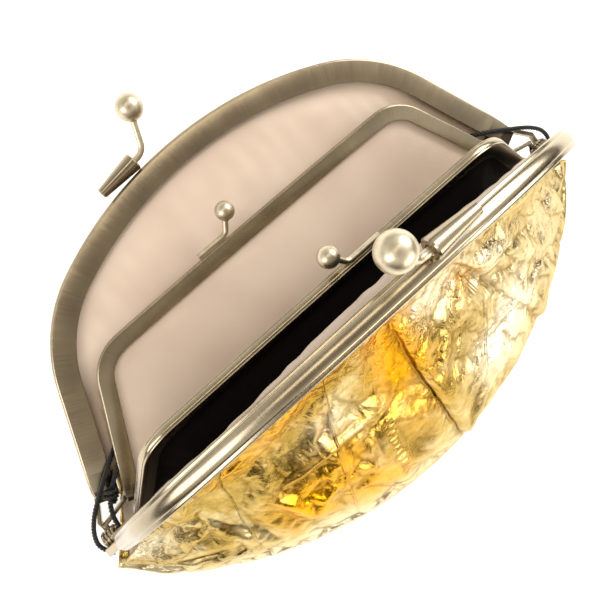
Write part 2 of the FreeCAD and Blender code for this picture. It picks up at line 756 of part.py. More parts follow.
def line_offset(spot, line):
    """Signed distance from a spot to a line of points, and how far along the line it is nearest."""
    nearest = None
    for index, (start, end) in enumerate(zip(line, line[1:])):
        run = end - start
        share = min(max((spot - start).dot(run) / run.dot(run), 0.0), 1.0)
        away = spot - start - run * share
        if nearest is None or away.Length < abs(nearest[0]):
            side = 1 if run.cross(away).z >= 0 else -1
            nearest = (side * away.Length, (index + share) / (len(line) - 1))
    return nearest


def pleat_rise(offset):
    """Height of a pleat with its edge softened: up on its own side, a little down on the other."""
    run = size("pleat_run")
    side = 1 if offset < 0 else -PLEAT_SINK_SHARE
    return side * math.exp(-abs(offset) / run) * math.tanh(abs(offset) / (PLEAT_EDGE_SHARE * run))


def ridge_rise(offset):
    return math.exp(-(offset / size("ridge_width")) ** 2)


def fold_height(share, down, width, reach):
    """How far the main folds lift the front leather at one point of the sheet."""
    spot = Vector(share * width, down * reach)
    total = 0.0
    for folds, rise in ((FRONT_PLEATS, pleat_rise), (FRONT_RIDGES, ridge_rise)):
        for line, height in folds:
            offset, along = line_offset(spot, [Vector(across * width, low * reach) for across, low in line])
            ends = ease(along / FOLD_TAPER) * ease((1 - along) / FOLD_TAPER)
            total += height * ends * rise(offset)
    total *= size("fold_height") * ease((down - FOLD_START) / FOLD_TAPER) * ease((1 - down) / FOLD_TAPER)
    return total if total > 0 else total * ease(down / BELLY_SHARE)


def folded(rows):
    """Grid of the front leather with its main folds."""
    columns = len(rows[0])
    channel_rows = len(rows) - len(FOLDED_ROWS)
    downs = [0.0] * channel_rows + list(FOLDED_ROWS)
    mouth = rows[channel_rows - 1]
    width = sum(left.distanceToPoint(right) for left, right in zip(mouth, mouth[1:])) / 2
    reach = mouth[columns // 2].distanceToPoint(rows[-1][columns // 2])
    return moved_grid(rows, lambda row, column: fold_height(2 * column / (columns - 1) - 1, downs[row], width, reach))


def make_bag():
    """Leather panels, and linings that follow them and stop short of the seam."""
    step = Vector(0, 0, size("leather_thickness") / 2 + size("layer_gap"))
    rear = sheet_points("outer", "rear_outer", leather_level, lambda share: bag_seam(share) - step, lie_on_table)
    reach = 2 * size("bag_half_width")
    table = Part.makeBox(2 * reach, 2 * reach, size("hinge_height"),
                         Vector(-reach, -reach, -2 * size("hinge_height")))
    rear_panel = sheet_solid(rear, size("leather_thickness")).cut(table)
    add_shape("rear_leather_panel", rear_panel, ON_HINGE_LINE)
    rear_lining = lining_grid(rear, SHEET_ROWS, 1)
    add_shape("rear_lining", sheet_solid(rear_lining, size("lining_thickness")), ON_HINGE_LINE)
    front = sheet_points("outer", "front_outer", leather_level, lambda share: bag_seam(share) + step,
                         hanging(size("bag_fall"), size("bag_belly"), BELLY_LEAN, BELLY_END_LEAN),
                         FOLDED_COLUMNS, FOLDED_ROWS)
    add_shape("front_leather_panel", sheet_solid(folded(front), size("leather_thickness")), ON_HINGE_LINE)
    front_lining = lining_grid(front, FOLDED_ROWS, -1)
    add_shape("front_lining", sheet_solid(front_lining, size("lining_thickness")), ON_HINGE_LINE)


def make_pouch():
    """Two walls that hang from the inner frame halves and meet at the pouch's own seam."""
    step = Vector(0, 0, size("pouch_thickness") / 2 + size("layer_gap"))
    fall, belly = size("pouch_fall"), size("pouch_belly")
    rear = sheet_points("inner", "rear_inner", pouch_level, lambda share: pouch_seam(share) - step,
                        hanging(fall, -belly, -POUCH_REAR_LEAN, -POUCH_REAR_LEAN))
    add_shape("pouch_rear_wall", sheet_solid(rear, size("pouch_thickness")), ON_HINGE_LINE)
    front = sheet_points("inner", "front_inner", pouch_level, lambda share: pouch_seam(share) + step,
                         hanging(fall, belly, POUCH_FRONT_LEAN, POUCH_FRONT_LEAN))
    add_shape("pouch_front_wall", sheet_solid(front, size("pouch_thickness")), ON_HINGE_LINE)


make_bag()
make_pouch()


# Tie cords
def make_tie(label, route):
    """Thin cord along its route, each corner rounded as widely as its two runs allow."""
    points = [Vector(*spot) for spot in route]
    radii = []
    for before, corner, after in zip(points, points[1:], points[2:]):
        turn = math.pi - (before - corner).getAngle(after - corner)
        run = min(corner.distanceToPoint(before), corner.distanceToPoint(after))
        radii.append(TIE_ARC_SHARE * run / math.tan(turn / 2))
    path = rounded_path(points, radii)
    print(label, "length", round(path.Length, 1), "radii", [round(radius, 1) for radius in radii])
    add_shape(label, rod_along(path, size("tie_diameter")), ON_HINGE_LINE)


make_tie("left_tie_cord", LEFT_TIE_ROUTE)
make_tie("right_tie_cord", RIGHT_TIE_ROUTE)


# Checks and files
settle()
for item in subparts:
    if item.Shape.isNull() or not item.Shape.isValid():
        raise RuntimeError(f"{item.Label} has no valid shape")
    if len(item.Shape.Solids) != 1:
        raise RuntimeError(f"{item.Label} has {len(item.Shape.Solids)} solids")
os.makedirs("parts", exist_ok=True)
for item in subparts:
    item.Shape.exportStep(f"parts/{item.Label}.step")
print(len(subparts), "sub-parts written")
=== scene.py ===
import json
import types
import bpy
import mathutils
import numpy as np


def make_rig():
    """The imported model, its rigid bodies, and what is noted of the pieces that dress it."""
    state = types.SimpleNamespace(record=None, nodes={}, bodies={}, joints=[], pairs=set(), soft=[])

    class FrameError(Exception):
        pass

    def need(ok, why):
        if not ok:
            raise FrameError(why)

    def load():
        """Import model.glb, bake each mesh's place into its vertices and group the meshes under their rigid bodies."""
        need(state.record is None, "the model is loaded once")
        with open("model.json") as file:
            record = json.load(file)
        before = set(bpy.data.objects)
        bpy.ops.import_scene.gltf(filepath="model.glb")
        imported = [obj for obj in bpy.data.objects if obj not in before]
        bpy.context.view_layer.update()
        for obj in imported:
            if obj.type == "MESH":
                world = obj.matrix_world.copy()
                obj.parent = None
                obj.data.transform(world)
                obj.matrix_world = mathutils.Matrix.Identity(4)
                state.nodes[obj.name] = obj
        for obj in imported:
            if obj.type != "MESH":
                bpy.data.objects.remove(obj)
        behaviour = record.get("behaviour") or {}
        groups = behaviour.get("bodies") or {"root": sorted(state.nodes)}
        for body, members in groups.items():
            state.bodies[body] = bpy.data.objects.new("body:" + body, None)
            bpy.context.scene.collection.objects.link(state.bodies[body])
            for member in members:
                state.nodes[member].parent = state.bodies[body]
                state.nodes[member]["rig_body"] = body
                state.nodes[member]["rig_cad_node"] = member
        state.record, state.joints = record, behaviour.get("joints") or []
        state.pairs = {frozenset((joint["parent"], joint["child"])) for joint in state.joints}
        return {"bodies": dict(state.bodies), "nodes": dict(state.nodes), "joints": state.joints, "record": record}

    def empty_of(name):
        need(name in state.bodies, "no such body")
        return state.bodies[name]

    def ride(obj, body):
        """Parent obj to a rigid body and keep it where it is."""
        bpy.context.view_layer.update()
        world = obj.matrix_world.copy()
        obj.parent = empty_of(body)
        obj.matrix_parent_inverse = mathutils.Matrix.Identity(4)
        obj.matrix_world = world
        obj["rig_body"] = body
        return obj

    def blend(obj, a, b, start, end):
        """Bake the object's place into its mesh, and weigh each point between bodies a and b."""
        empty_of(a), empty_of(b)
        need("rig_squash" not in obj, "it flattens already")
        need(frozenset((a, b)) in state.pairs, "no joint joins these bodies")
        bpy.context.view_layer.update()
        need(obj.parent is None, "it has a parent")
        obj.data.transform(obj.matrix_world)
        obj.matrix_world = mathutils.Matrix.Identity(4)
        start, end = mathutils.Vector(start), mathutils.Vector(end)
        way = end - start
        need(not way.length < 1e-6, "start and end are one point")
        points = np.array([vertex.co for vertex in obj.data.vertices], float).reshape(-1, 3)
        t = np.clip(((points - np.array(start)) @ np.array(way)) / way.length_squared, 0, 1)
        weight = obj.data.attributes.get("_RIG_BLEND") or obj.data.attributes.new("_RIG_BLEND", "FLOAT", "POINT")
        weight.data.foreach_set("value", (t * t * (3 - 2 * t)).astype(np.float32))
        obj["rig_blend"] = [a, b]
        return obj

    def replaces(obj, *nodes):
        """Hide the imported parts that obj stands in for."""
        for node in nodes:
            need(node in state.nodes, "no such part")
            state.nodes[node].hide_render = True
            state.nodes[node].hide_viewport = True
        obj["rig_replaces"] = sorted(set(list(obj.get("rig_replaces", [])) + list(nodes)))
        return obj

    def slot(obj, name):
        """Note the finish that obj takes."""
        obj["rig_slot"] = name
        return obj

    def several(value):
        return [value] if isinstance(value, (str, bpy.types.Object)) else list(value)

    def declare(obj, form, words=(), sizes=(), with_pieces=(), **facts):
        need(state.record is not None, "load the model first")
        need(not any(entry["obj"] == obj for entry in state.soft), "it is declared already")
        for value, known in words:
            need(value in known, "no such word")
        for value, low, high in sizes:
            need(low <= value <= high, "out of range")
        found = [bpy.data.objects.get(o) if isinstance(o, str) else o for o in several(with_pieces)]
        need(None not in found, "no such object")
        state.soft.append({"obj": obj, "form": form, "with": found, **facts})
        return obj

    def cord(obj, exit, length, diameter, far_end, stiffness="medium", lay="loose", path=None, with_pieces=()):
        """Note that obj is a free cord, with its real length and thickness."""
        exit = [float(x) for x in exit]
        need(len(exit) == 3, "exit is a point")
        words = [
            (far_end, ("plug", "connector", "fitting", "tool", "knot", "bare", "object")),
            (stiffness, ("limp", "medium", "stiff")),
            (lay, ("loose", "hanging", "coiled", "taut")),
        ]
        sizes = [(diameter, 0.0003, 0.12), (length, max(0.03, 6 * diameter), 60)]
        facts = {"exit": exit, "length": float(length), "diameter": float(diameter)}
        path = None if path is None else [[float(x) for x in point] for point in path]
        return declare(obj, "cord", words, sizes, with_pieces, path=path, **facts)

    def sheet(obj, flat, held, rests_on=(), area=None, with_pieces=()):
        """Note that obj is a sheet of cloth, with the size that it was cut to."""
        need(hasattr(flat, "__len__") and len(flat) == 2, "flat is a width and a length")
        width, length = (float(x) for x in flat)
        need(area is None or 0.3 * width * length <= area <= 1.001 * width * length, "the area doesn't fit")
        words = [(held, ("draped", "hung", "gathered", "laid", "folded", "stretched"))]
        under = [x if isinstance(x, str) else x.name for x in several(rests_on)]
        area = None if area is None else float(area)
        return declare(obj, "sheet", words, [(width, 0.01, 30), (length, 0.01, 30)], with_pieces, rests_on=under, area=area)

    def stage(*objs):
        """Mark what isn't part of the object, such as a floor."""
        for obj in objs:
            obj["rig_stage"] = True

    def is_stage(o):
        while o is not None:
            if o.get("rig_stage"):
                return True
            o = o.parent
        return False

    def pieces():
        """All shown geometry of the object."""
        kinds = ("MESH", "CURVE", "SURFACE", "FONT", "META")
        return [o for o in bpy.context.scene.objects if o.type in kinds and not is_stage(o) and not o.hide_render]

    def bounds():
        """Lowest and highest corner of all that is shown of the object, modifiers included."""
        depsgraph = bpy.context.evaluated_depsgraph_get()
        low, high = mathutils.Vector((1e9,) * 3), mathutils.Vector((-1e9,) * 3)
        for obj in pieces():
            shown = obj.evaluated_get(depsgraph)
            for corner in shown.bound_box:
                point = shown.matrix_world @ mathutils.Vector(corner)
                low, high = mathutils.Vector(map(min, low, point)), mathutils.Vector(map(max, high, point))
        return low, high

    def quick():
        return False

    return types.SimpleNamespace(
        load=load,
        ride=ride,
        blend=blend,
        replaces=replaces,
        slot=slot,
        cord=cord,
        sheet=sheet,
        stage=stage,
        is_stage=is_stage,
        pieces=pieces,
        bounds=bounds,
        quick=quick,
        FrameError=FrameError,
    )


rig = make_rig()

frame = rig.load()

# %% [markdown]
# A kiss lock purse lies open on its back. Its metal halves, locks, leather, lining and cords are built
# here around the CAD frame, which gives every place and joint. Sizes are in millimetres and become metres
# only when a mesh is made, because a purse is easier to think about in millimetres.

# %% Sizes taken from the frame
import json
import math

import bmesh
import bpy
import numpy as np
from mathutils import Matrix, Vector, noise

MM = 0.001
scene = bpy.context.scene
# Without a seed, a part of Blender's noise starts from the clock and every run gives other folds
NOISE_SEED = 1
noise.seed_set(NOISE_SEED)
cad_low, cad_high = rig.bounds()
joints = {joint["name"]: joint for joint in frame["joints"]}
follows = {row["joint"]: row["ratio"] for row in frame["record"]["behaviour"]["couplings"]}
HINGE = np.array(joints["front_frame_hinge"]["pos_m"]) / MM
OPENING = -joints["front_frame_hinge"]["range_deg"][0]
ANGLES = {
    "rear_outer": 0.0,
    "front_outer": OPENING,
    "rear_inner": OPENING * follows["rear_pouch_hinge"],
    "front_inner": OPENING * follows["front_pouch_hinge"],
}
print("hinge height", HINGE[2], "mm, halves at", {half: round(angle, 1) for half, angle in ANGLES.items()})

# %% [markdown]
# The camera stands where the photographer stood. Its place was solved from the frame's arch, so the
# script only states it: a point, the way it looks, what is to its right, and the focal length in pixels.

# %% Camera
CAMERA_AT = Vector((-23.50, 50.51, 183.41)) * MM
LOOK_ALONG = Vector((0.11686, -0.19724, -0.97336))
TO_THE_RIGHT = Vector((0.74246, -0.63359, 0.21753))
FOCAL_PIXELS = 610.4
PICTURE_PIXELS = 600
SENSOR = 36.0
NEAREST_SEEN = 0.005


def make_camera():
    data = bpy.data.cameras.new("camera")
    data.sensor_width = SENSOR
    data.lens = FOCAL_PIXELS / PICTURE_PIXELS * SENSOR
    camera = bpy.data.objects.new("camera", data)
    up = TO_THE_RIGHT.cross(LOOK_ALONG)
    turn = Matrix((TO_THE_RIGHT, up, -LOOK_ALONG)).transposed()
    camera.matrix_world = Matrix.Translation(CAMERA_AT) @ turn.to_4x4()
    data.clip_start = NEAREST_SEEN
    scene.collection.objects.link(camera)
    scene.camera = camera
    print("lens", round(data.lens, 1), "mm on a sensor of", SENSOR, "mm")


make_camera()

# %% [markdown]
# One function turns a colour as a screen shows it into the linear numbers that a shader needs, one sets the
# inputs of a node, and one adds a node with its settings. Every material and node tree below is written with
# these three, so that a tree reads from top to bottom in the order in which its values flow.


# %% Helpers for colours and nodes
def linear(hex_colour):
    """sRGB hex to linear red, green, blue, alpha."""
    parts = [int(hex_colour[place:place + 2], 16) / 255 for place in (1, 3, 5)]
    parts = [part / 12.92 if part <= 0.04045 else ((part + 0.055) / 1.055) ** 2.4 for part in parts]
    return (*parts, 1.0)


def set_inputs(tree, node, inputs):
    """Gives each input a value, a link from a node's first output, or one from the output in a pair."""
    for key, value in inputs.items():
        pair = value if isinstance(value, tuple) else (value, 0)
        if isinstance(pair[0], bpy.types.Node):
            tree.links.new(pair[0].outputs[pair[1]], node.inputs[key])
        else:
            node.inputs[key].default_value = value


def add_node(tree, kind, inputs=None, stops=(), **settings):
    """A node with its settings, its inputs and, for a colour ramp, its stops as place and hex colour."""
    node = tree.nodes.new(kind)
    for name, value in settings.items():
        setattr(node, name, value)
    for index, (place, colour) in enumerate(stops):
        elements = node.color_ramp.elements
        element = elements[index] if index < 2 else elements.new(place)
        element.position = place
        element.color = linear(colour)
    set_inputs(tree, node, inputs or {})
    return node


def new_material(name):
    """A material with its tree, its shader and the Object coordinates of the piece that wears it."""
    material = bpy.data.materials.new(name)
    material.use_nodes = True
    tree = material.node_tree
    tree.nodes.clear()
    shader = add_node(tree, "ShaderNodeBsdfPrincipled")
    add_node(tree, "ShaderNodeOutputMaterial", {"Surface": shader})
    return material, tree, shader, (add_node(tree, "ShaderNodeTexCoord"), "Object")


# %% [markdown]
# The purse lies on a plain pale table in soft light. Metal shows what is around it, so large softboxes stand
# to the sides and the sky between them stays dimmer: that gives the brass its bright and dark bands.

# %% Table and light
TABLE_SIDE = 1.0
SOFTBOXES = {
    # name: place, width, height in metres, watts, colour
    "window_light": ((0.95, 0.3, 0.62), 0.7, 0.6, 10.0, "#FFFFFF"),
    "front_light": ((0.3, -0.95, 0.5), 1.0, 0.5, 8.0, "#FFF8EC"),
    "left_light": ((-0.95, 0.15, 0.6), 0.5, 0.8, 5.0, "#FFFFFF"),
    "strip_light": ((0.0, 0.4, 0.95), 1.1, 0.18, 1.9, "#FFF6E6"),
}
SKY_COLOURS = [(0.5, "#3E3222"), (0.985, "#958B7F"), (0.58, "#75664F"), (0.66, "#FFFBF2"), (0.84, "#F2EEE8"),
               (0.93, "#B4AA9E")]
# The bright band of the sky stands higher before the purse than behind it
SKY_UP = (0.0, 0.25, 0.97)
TABLE_GLOW = 0.45


def make_stage():
    corner = TABLE_SIDE / 2
    mesh = bpy.data.meshes.new("table")
    mesh.from_pydata([(-corner, -corner, 0), (corner, -corner, 0), (corner, corner, 0), (-corner, corner, 0)],
                     [], [(0, 1, 2, 3)])
    table = bpy.data.objects.new("table", mesh)
    scene.collection.objects.link(table)
    material, tree, shader, _ = new_material("white_table")
    set_inputs(tree, shader, {"Base Color": linear("#F7F6F4"), "Roughness": 0.9,
                              "Emission Color": linear("#FFFFFF"), "Emission Strength": TABLE_GLOW})
    mesh.materials.append(material)
    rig.stage(table)


def make_lights():
    for name, (place, width, height, watts, colour) in SOFTBOXES.items():
        data = bpy.data.lights.new(name, "AREA")
        data.shape = "RECTANGLE"
        data.size, data.size_y = width, height
        data.energy = watts
        data.color = linear(colour)[:3]
        lamp = bpy.data.objects.new(name, data)
        lamp.location = place
        lamp.rotation_euler = (-Vector(place)).to_track_quat("-Z", "Y").to_euler()
        scene.collection.objects.link(lamp)
    scene.world = bpy.data.worlds.new("sky")
    scene.world.use_nodes = True
    tree = scene.world.node_tree
    height = add_node(tree, "ShaderNodeVectorMath", {0: add_node(tree, "ShaderNodeTexCoord"), 1: SKY_UP},
                      operation="DOT_PRODUCT")
    share = add_node(tree, "ShaderNodeMapRange", {"Value": (height, "Value"), "From Min": -1.0})
    sky = add_node(tree, "ShaderNodeValToRGB", {"Fac": share}, SKY_COLOURS)
    set_inputs(tree, tree.nodes["Background"], {"Color": sky})
    scene.view_settings.view_transform = "Standard"


make_stage()
make_lights()
print(len(SOFTBOXES), "softboxes and a sky of", len(SKY_COLOURS), "colours")

# %% [markdown]
# Two metals, a foil leather, a satin, two yarns and a near-black cloth of painted shade cover the purse. The
# frame is brass with an antique nickel-brown finish, brushed across its width and darker where a polishing
# wheel doesn't reach. The back flange of the pouch's frame gets painted shade, for the dark inside that it
# reflects. Sizes of patterns are in mm. The brush marks follow each piece's own UV map, because they run along
# the strip and not along the room's axes.

# %% Antique brass of the frames
BRUSH_SPACING, BRUSH_LENGTH, CLOUD_WIDTH = 0.35, 9.0, 16.0


def repeats(width):
    """How often a pattern of a width in mm fits into a metre."""
    return 1 / (width * MM)


def own_coordinates(tree, uv_map, across, down):
    """The piece's own UV, divided so that one unit is that many millimetres across and down."""
    uv = add_node(tree, "ShaderNodeUVMap", uv_map=uv_map)
    return add_node(tree, "ShaderNodeMapping", {"Vector": uv, "Scale": (repeats(across), repeats(down), 1.0)})


def antique_brass():
    """Brass darkened by a bath, then brushed and relieved on its edges: satin with dark hollows, and painted shade on
    the pouch frame's back flange.
    """
    material, tree, shader, place = new_material("antique_brushed_brass")
    brush = own_coordinates(tree, "brush", BRUSH_SPACING, BRUSH_LENGTH)
    marks = add_node(tree, "ShaderNodeTexNoise", {"Vector": brush, "Scale": 1.0, "Detail": 3.0})
    clouds = add_node(tree, "ShaderNodeTexNoise",
                      {"Vector": place, "Scale": repeats(CLOUD_WIDTH), "Detail": 3.0})
    tone = add_node(tree, "ShaderNodeMix", {0: 0.8, 2: marks, 3: clouds})
    metal = add_node(tree, "ShaderNodeValToRGB", {"Fac": tone},
                     [(0.3, "#968A75"), (0.7, "#B9AC90"), (0.5, "#A79A82")])
    # The patina value darkens the channel's hollows and, as painted shade, the back flange of the pouch's frame
    patina = add_node(tree, "ShaderNodeAttribute", attribute_name="patina")
    colour = add_node(tree, "ShaderNodeMix", {0: (patina, "Fac"), 6: metal, 7: linear("#2A1E14")},
                      data_type="RGBA")
    rough = add_node(tree, "ShaderNodeMapRange", {"Value": marks, "To Min": 0.16, "To Max": 0.3})
    bump = add_node(tree, "ShaderNodeBump", {"Height": marks, "Strength": 0.06, "Distance": 0.05 * MM})
    set_inputs(tree, shader, {"Base Color": (colour, 2), "Roughness": rough, "Normal": bump, "Metallic": 1.0})
    return material


# %% [markdown]
# The lock balls and wires are plated with pale nickel and tumbled in a drum, which leaves no direction in the
# surface. So one noise of about 2 mm is enough: it drives both the colour and the roughness.

# %% Satin nickel of the locks
MOTTLE = 2.2


def satin_nickel():
    """Brass balls and wire plated pale nickel and tumbled: a soft sheen with faint cloudy marks."""
    material, tree, shader, place = new_material("satin_nickel_plate")
    clouds = add_node(tree, "ShaderNodeTexNoise", {"Vector": place, "Scale": repeats(MOTTLE), "Detail": 4.0})
    colour = add_node(tree, "ShaderNodeValToRGB", {"Fac": clouds},
                      [(0.3, "#BDB196"), (0.7, "#DBD0B8"), (0.5, "#CDC1A7")])
    rough = add_node(tree, "ShaderNodeMapRange", {"Value": clouds, "To Min": 0.3, "To Max": 0.46})
    set_inputs(tree, shader, {"Base Color": colour, "Roughness": rough, "Metallic": 1.0})
    return material


# %% [markdown]
# The bag is thin leather under a gold foil. Its folds are real geometry, made further below, but the finest
# crinkles, the creased seams and the grain are smaller than the grid, so they are bumps. Values stored on the
# sheet say where the foil is a warmer or paler gold, partly its own tone and partly painted reflection, and where
# its creases get painted shade; the material mixes them in one after another.

# %% Gold foil leather
GRAIN, FOIL_PATCH, CRINKLE = 0.9, 12.0, (5.5, 9.5)
CRINKLE_DEPTH, GRAIN_DEPTH = 0.45, 0.15
# Warm and pale are partly the foil's tone and partly painted reflection; crease is painted shade
LEATHER_TONES_AND_PAINTED_LIGHT = {"pale": "#F4EDD8", "warm": "#EAA708", "crease": "#7A5818"}
# Seams and sharp creases in mm on the cut sheet: the line, its width, and the pitch of ribs across it or 0
LEATHER_SEAMS = [
    ([(-46.0, 2.0), (-58.0, 26.0), (-60.0, 48.0), (-58.0, 73.0), (-57.0, 92.0)], 0.5, 0.0),
    ([(-16.0, 3.0), (-22.0, 28.0), (-27.0, 45.0), (-30.0, 84.0)], 0.6, 0.0),
    ([(-10.0, 44.0), (-11.0, 56.0), (-12.0, 75.0)], 2.2, 2.6),
    ([(2.5, 3.0), (5.0, 25.0), (7.0, 61.0), (9.0, 92.0)], 0.7, 0.0),
    ([(28.0, 21.0), (32.0, 37.0), (30.0, 51.0), (22.0, 60.0), (11.0, 70.0)], 0.8, 0.0),
]


def seam_heights(tree, place):
    """1 on every seam, falling to 0 over its width, with ribs across it where it has some."""
    total = None
    for line, width, rib in LEATHER_SEAMS:
        for first, last in zip(line, line[1:]):
            first, last = (Vector((*spot, 0)) * MM for spot in (first, last))
            ahead = (last - first).normalized()
            away = add_node(tree, "ShaderNodeVectorMath", {0: place, 1: first}, operation="SUBTRACT")
            run = add_node(tree, "ShaderNodeVectorMath", {0: away, 1: ahead}, operation="DOT_PRODUCT")
            held = add_node(tree, "ShaderNodeClamp", {"Value": (run, "Value"), "Max": (last - first).length})
            foot = add_node(tree, "ShaderNodeVectorMath", {0: ahead, "Scale": held}, operation="SCALE")
            gap = add_node(tree, "ShaderNodeVectorMath", {0: away, 1: foot}, operation="DISTANCE")
            rise = add_node(tree, "ShaderNodeMapRange", {"Value": (gap, "Value"), "From Max": width * MM,
                                                         "To Min": 1.0, "To Max": 0.0},
                            interpolation_type="SMOOTHSTEP")
            if rib:
                wave = add_node(tree, "ShaderNodeMath", {0: (run, "Value"), 1: 2 * math.pi / (rib * MM)},
                                operation="MULTIPLY")
                wave = add_node(tree, "ShaderNodeMath", {0: wave}, operation="SINE")
                wave = add_node(tree, "ShaderNodeMapRange", {"Value": wave, "From Min": -1.0})
                rise = add_node(tree, "ShaderNodeMath", {0: rise, 1: wave}, operation="MULTIPLY")
            if total:
                rise = add_node(tree, "ShaderNodeMath", {0: total, 1: rise}, operation="MAXIMUM")
            total = rise
    return total


def gold_leather():
    """Thin leather faced with gold foil and crumpled: bright facets, creases darkened by painted shade, seams and a
    fine grain.
    """
    material, tree, shader, place = new_material("gold_foil_leather")
    patches = add_node(tree, "ShaderNodeTexNoise",
                       {"Vector": place, "Scale": repeats(FOIL_PATCH), "Detail": 6.0, "Roughness": 0.68})
    colour = add_node(tree, "ShaderNodeValToRGB", {"Fac": patches},
                      [(0.36, "#8F7838"), (0.66, "#DDD0A4"), (0.5, "#B89C58")])
    # Warm and pale spots, partly tone and partly painted reflection, then painted crease shade, mixed in turn
    for name, tint in LEATHER_TONES_AND_PAINTED_LIGHT.items():
        amount = add_node(tree, "ShaderNodeAttribute", attribute_name=name)
        tinted = add_node(tree, "ShaderNodeMix", {0: (amount, "Fac"), 6: colour, 7: linear(tint)},
                          data_type="RGBA")
        colour = (tinted, 2)
    crinkles = add_node(tree, "ShaderNodeTexNoise",
                        {"Vector": own_coordinates(tree, "cloth", *CRINKLE), "Scale": 1.0, "Detail": 4.0,
                         "Roughness": 0.45, "Distortion": 0.5, "Offset": 1.0, "Gain": 1.6},
                        noise_type="RIDGED_MULTIFRACTAL")
    amount = add_node(tree, "ShaderNodeAttribute", attribute_name="crinkle")
    seams = seam_heights(tree, own_coordinates(tree, "cloth", 1 / MM, 1 / MM))
    height = add_node(tree, "ShaderNodeMath", {0: crinkles, 1: (amount, "Fac"), 2: seams},
                      operation="MULTIPLY_ADD")
    folded = add_node(tree, "ShaderNodeBump",
                      {"Height": height, "Strength": 1.0, "Distance": CRINKLE_DEPTH * MM})
    grain = add_node(tree, "ShaderNodeTexVoronoi", {"Vector": place, "Scale": repeats(GRAIN)},
                     feature="DISTANCE_TO_EDGE")
    bump = add_node(tree, "ShaderNodeBump", {"Height": grain, "Strength": 0.35, "Distance": GRAIN_DEPTH * MM,
                                             "Normal": folded})
    rough = add_node(tree, "ShaderNodeMapRange", {"Value": patches, "From Min": 0.3, "From Max": 0.7,
                                                  "To Min": 0.2, "To Max": 0.38})
    set_inputs(tree, shader, {"Base Color": colour, "Normal": bump, "Roughness": rough, "Metallic": 1.0,
                              "Specular Tint": linear("#F3E8C8")})
    return material


# %% [markdown]
# The lining is woven satin: its long loose threads give a smooth face with a soft glow at a grazing view. A
# wave pattern stands for the threads, and sheen for the glow. Painted shade darkens the cloth down in the
# slots, where almost no light reaches.

# %% Satin lining
# The real thread is 0.15 mm thick; it is drawn three times as coarse so that it shows.
# Blender's wave texture has 20 bands to a unit
THREAD, THREAD_BANDS, SHEEN_CLOUD = 0.45, 20, 30.0


def satin_lining():
    """Woven polyester satin: smooth floats that shine along the thread, pinkish beige, with painted shade where deep.
    """
    material, tree, shader, place = new_material("beige_satin")
    clouds = add_node(tree, "ShaderNodeTexNoise",
                      {"Vector": place, "Scale": repeats(SHEEN_CLOUD), "Detail": 3.0})
    colour = add_node(tree, "ShaderNodeValToRGB", {"Fac": clouds},
                      [(0.3, "#D3BCA8"), (0.7, "#E6D3BF"), (0.5, "#DDC8B4")])
    # Painted shade: the deep value darkens the satin almost to black and dims its sheen
    deep = add_node(tree, "ShaderNodeAttribute", attribute_name="deep")
    shaded = add_node(tree, "ShaderNodeMix", {0: (deep, "Fac"), 6: colour, 7: linear("#0E0806")},
                      data_type="RGBA")
    threads = add_node(tree, "ShaderNodeTexWave",
                       {"Vector": add_node(tree, "ShaderNodeUVMap", uv_map="cloth"),
                        "Scale": repeats(THREAD) / THREAD_BANDS, "Distortion": 0.6, "Detail": 1.0},
                       wave_type="BANDS", bands_direction="Y")
    bump = add_node(tree, "ShaderNodeBump",
                    {"Height": (threads, "Fac"), "Strength": 0.08, "Distance": 0.1 * MM})
    sheen = add_node(tree, "ShaderNodeMapRange", {"Value": (deep, "Fac"), "To Min": 0.25, "To Max": 0.0})
    set_inputs(tree, shader, {"Base Color": (shaded, 2), "Normal": bump, "Roughness": 0.48,
                              "Sheen Weight": sheen, "Sheen Roughness": 0.4})
    return material


# %% [markdown]
# The cords are dull twisted yarn, of waxed cotton or brown paper. Their twist is geometry, so the material
# only adds the fibres. The back of the pouch's front wall gets a near-black cloth made in the same way, as
# painted shade: seen from the slot before the pouch, that side is almost black.


# %% Cords and painted shade cloth
def twisted_cotton(name, dark, light, fibre):
    """Dull yarn or cloth, with a fibre pattern of a width in mm."""
    material, tree, shader, place = new_material(name)
    fibres = add_node(tree, "ShaderNodeTexNoise", {"Vector": place, "Scale": repeats(fibre), "Detail": 4.0})
    colour = add_node(tree, "ShaderNodeValToRGB", {"Fac": fibres}, [(0.35, dark), (0.7, light)])
    bump = add_node(tree, "ShaderNodeBump", {"Height": fibres, "Strength": 0.4, "Distance": 0.08 * MM})
    set_inputs(tree, shader, {"Base Color": colour, "Normal": bump, "Roughness": 0.5})
    return material


MATERIALS = {
    "antique_brass": antique_brass(),
    "satin_nickel": satin_nickel(),
    "gold_leather": gold_leather(),
    "satin_lining": satin_lining(),
    "paper_cord": twisted_cotton("kraft_paper_cord", "#8C6E45", "#B99A68", 0.4),
    "black_cord": twisted_cotton("waxed_black_cotton", "#030303", "#121110", 0.3),
}
# Painted shade: a near-black cloth on the back of the pouch's front wall, which lies in deep shade
POUCH_PAINTED_SHADE_CLOTH = twisted_cotton("dark_backing_cloth", "#070302", "#140B07", 0.5)
print(len(MATERIALS), "materials")

# %% [markdown]
# Each piece is one mesh at the origin, with its place in its vertices. Points are worked out as plain numbers
# and become a mesh in one go, which is faster and easier to follow than editing a mesh step by step. A metal
# piece is drawn on the closed flat half and then moved to where that half stands.


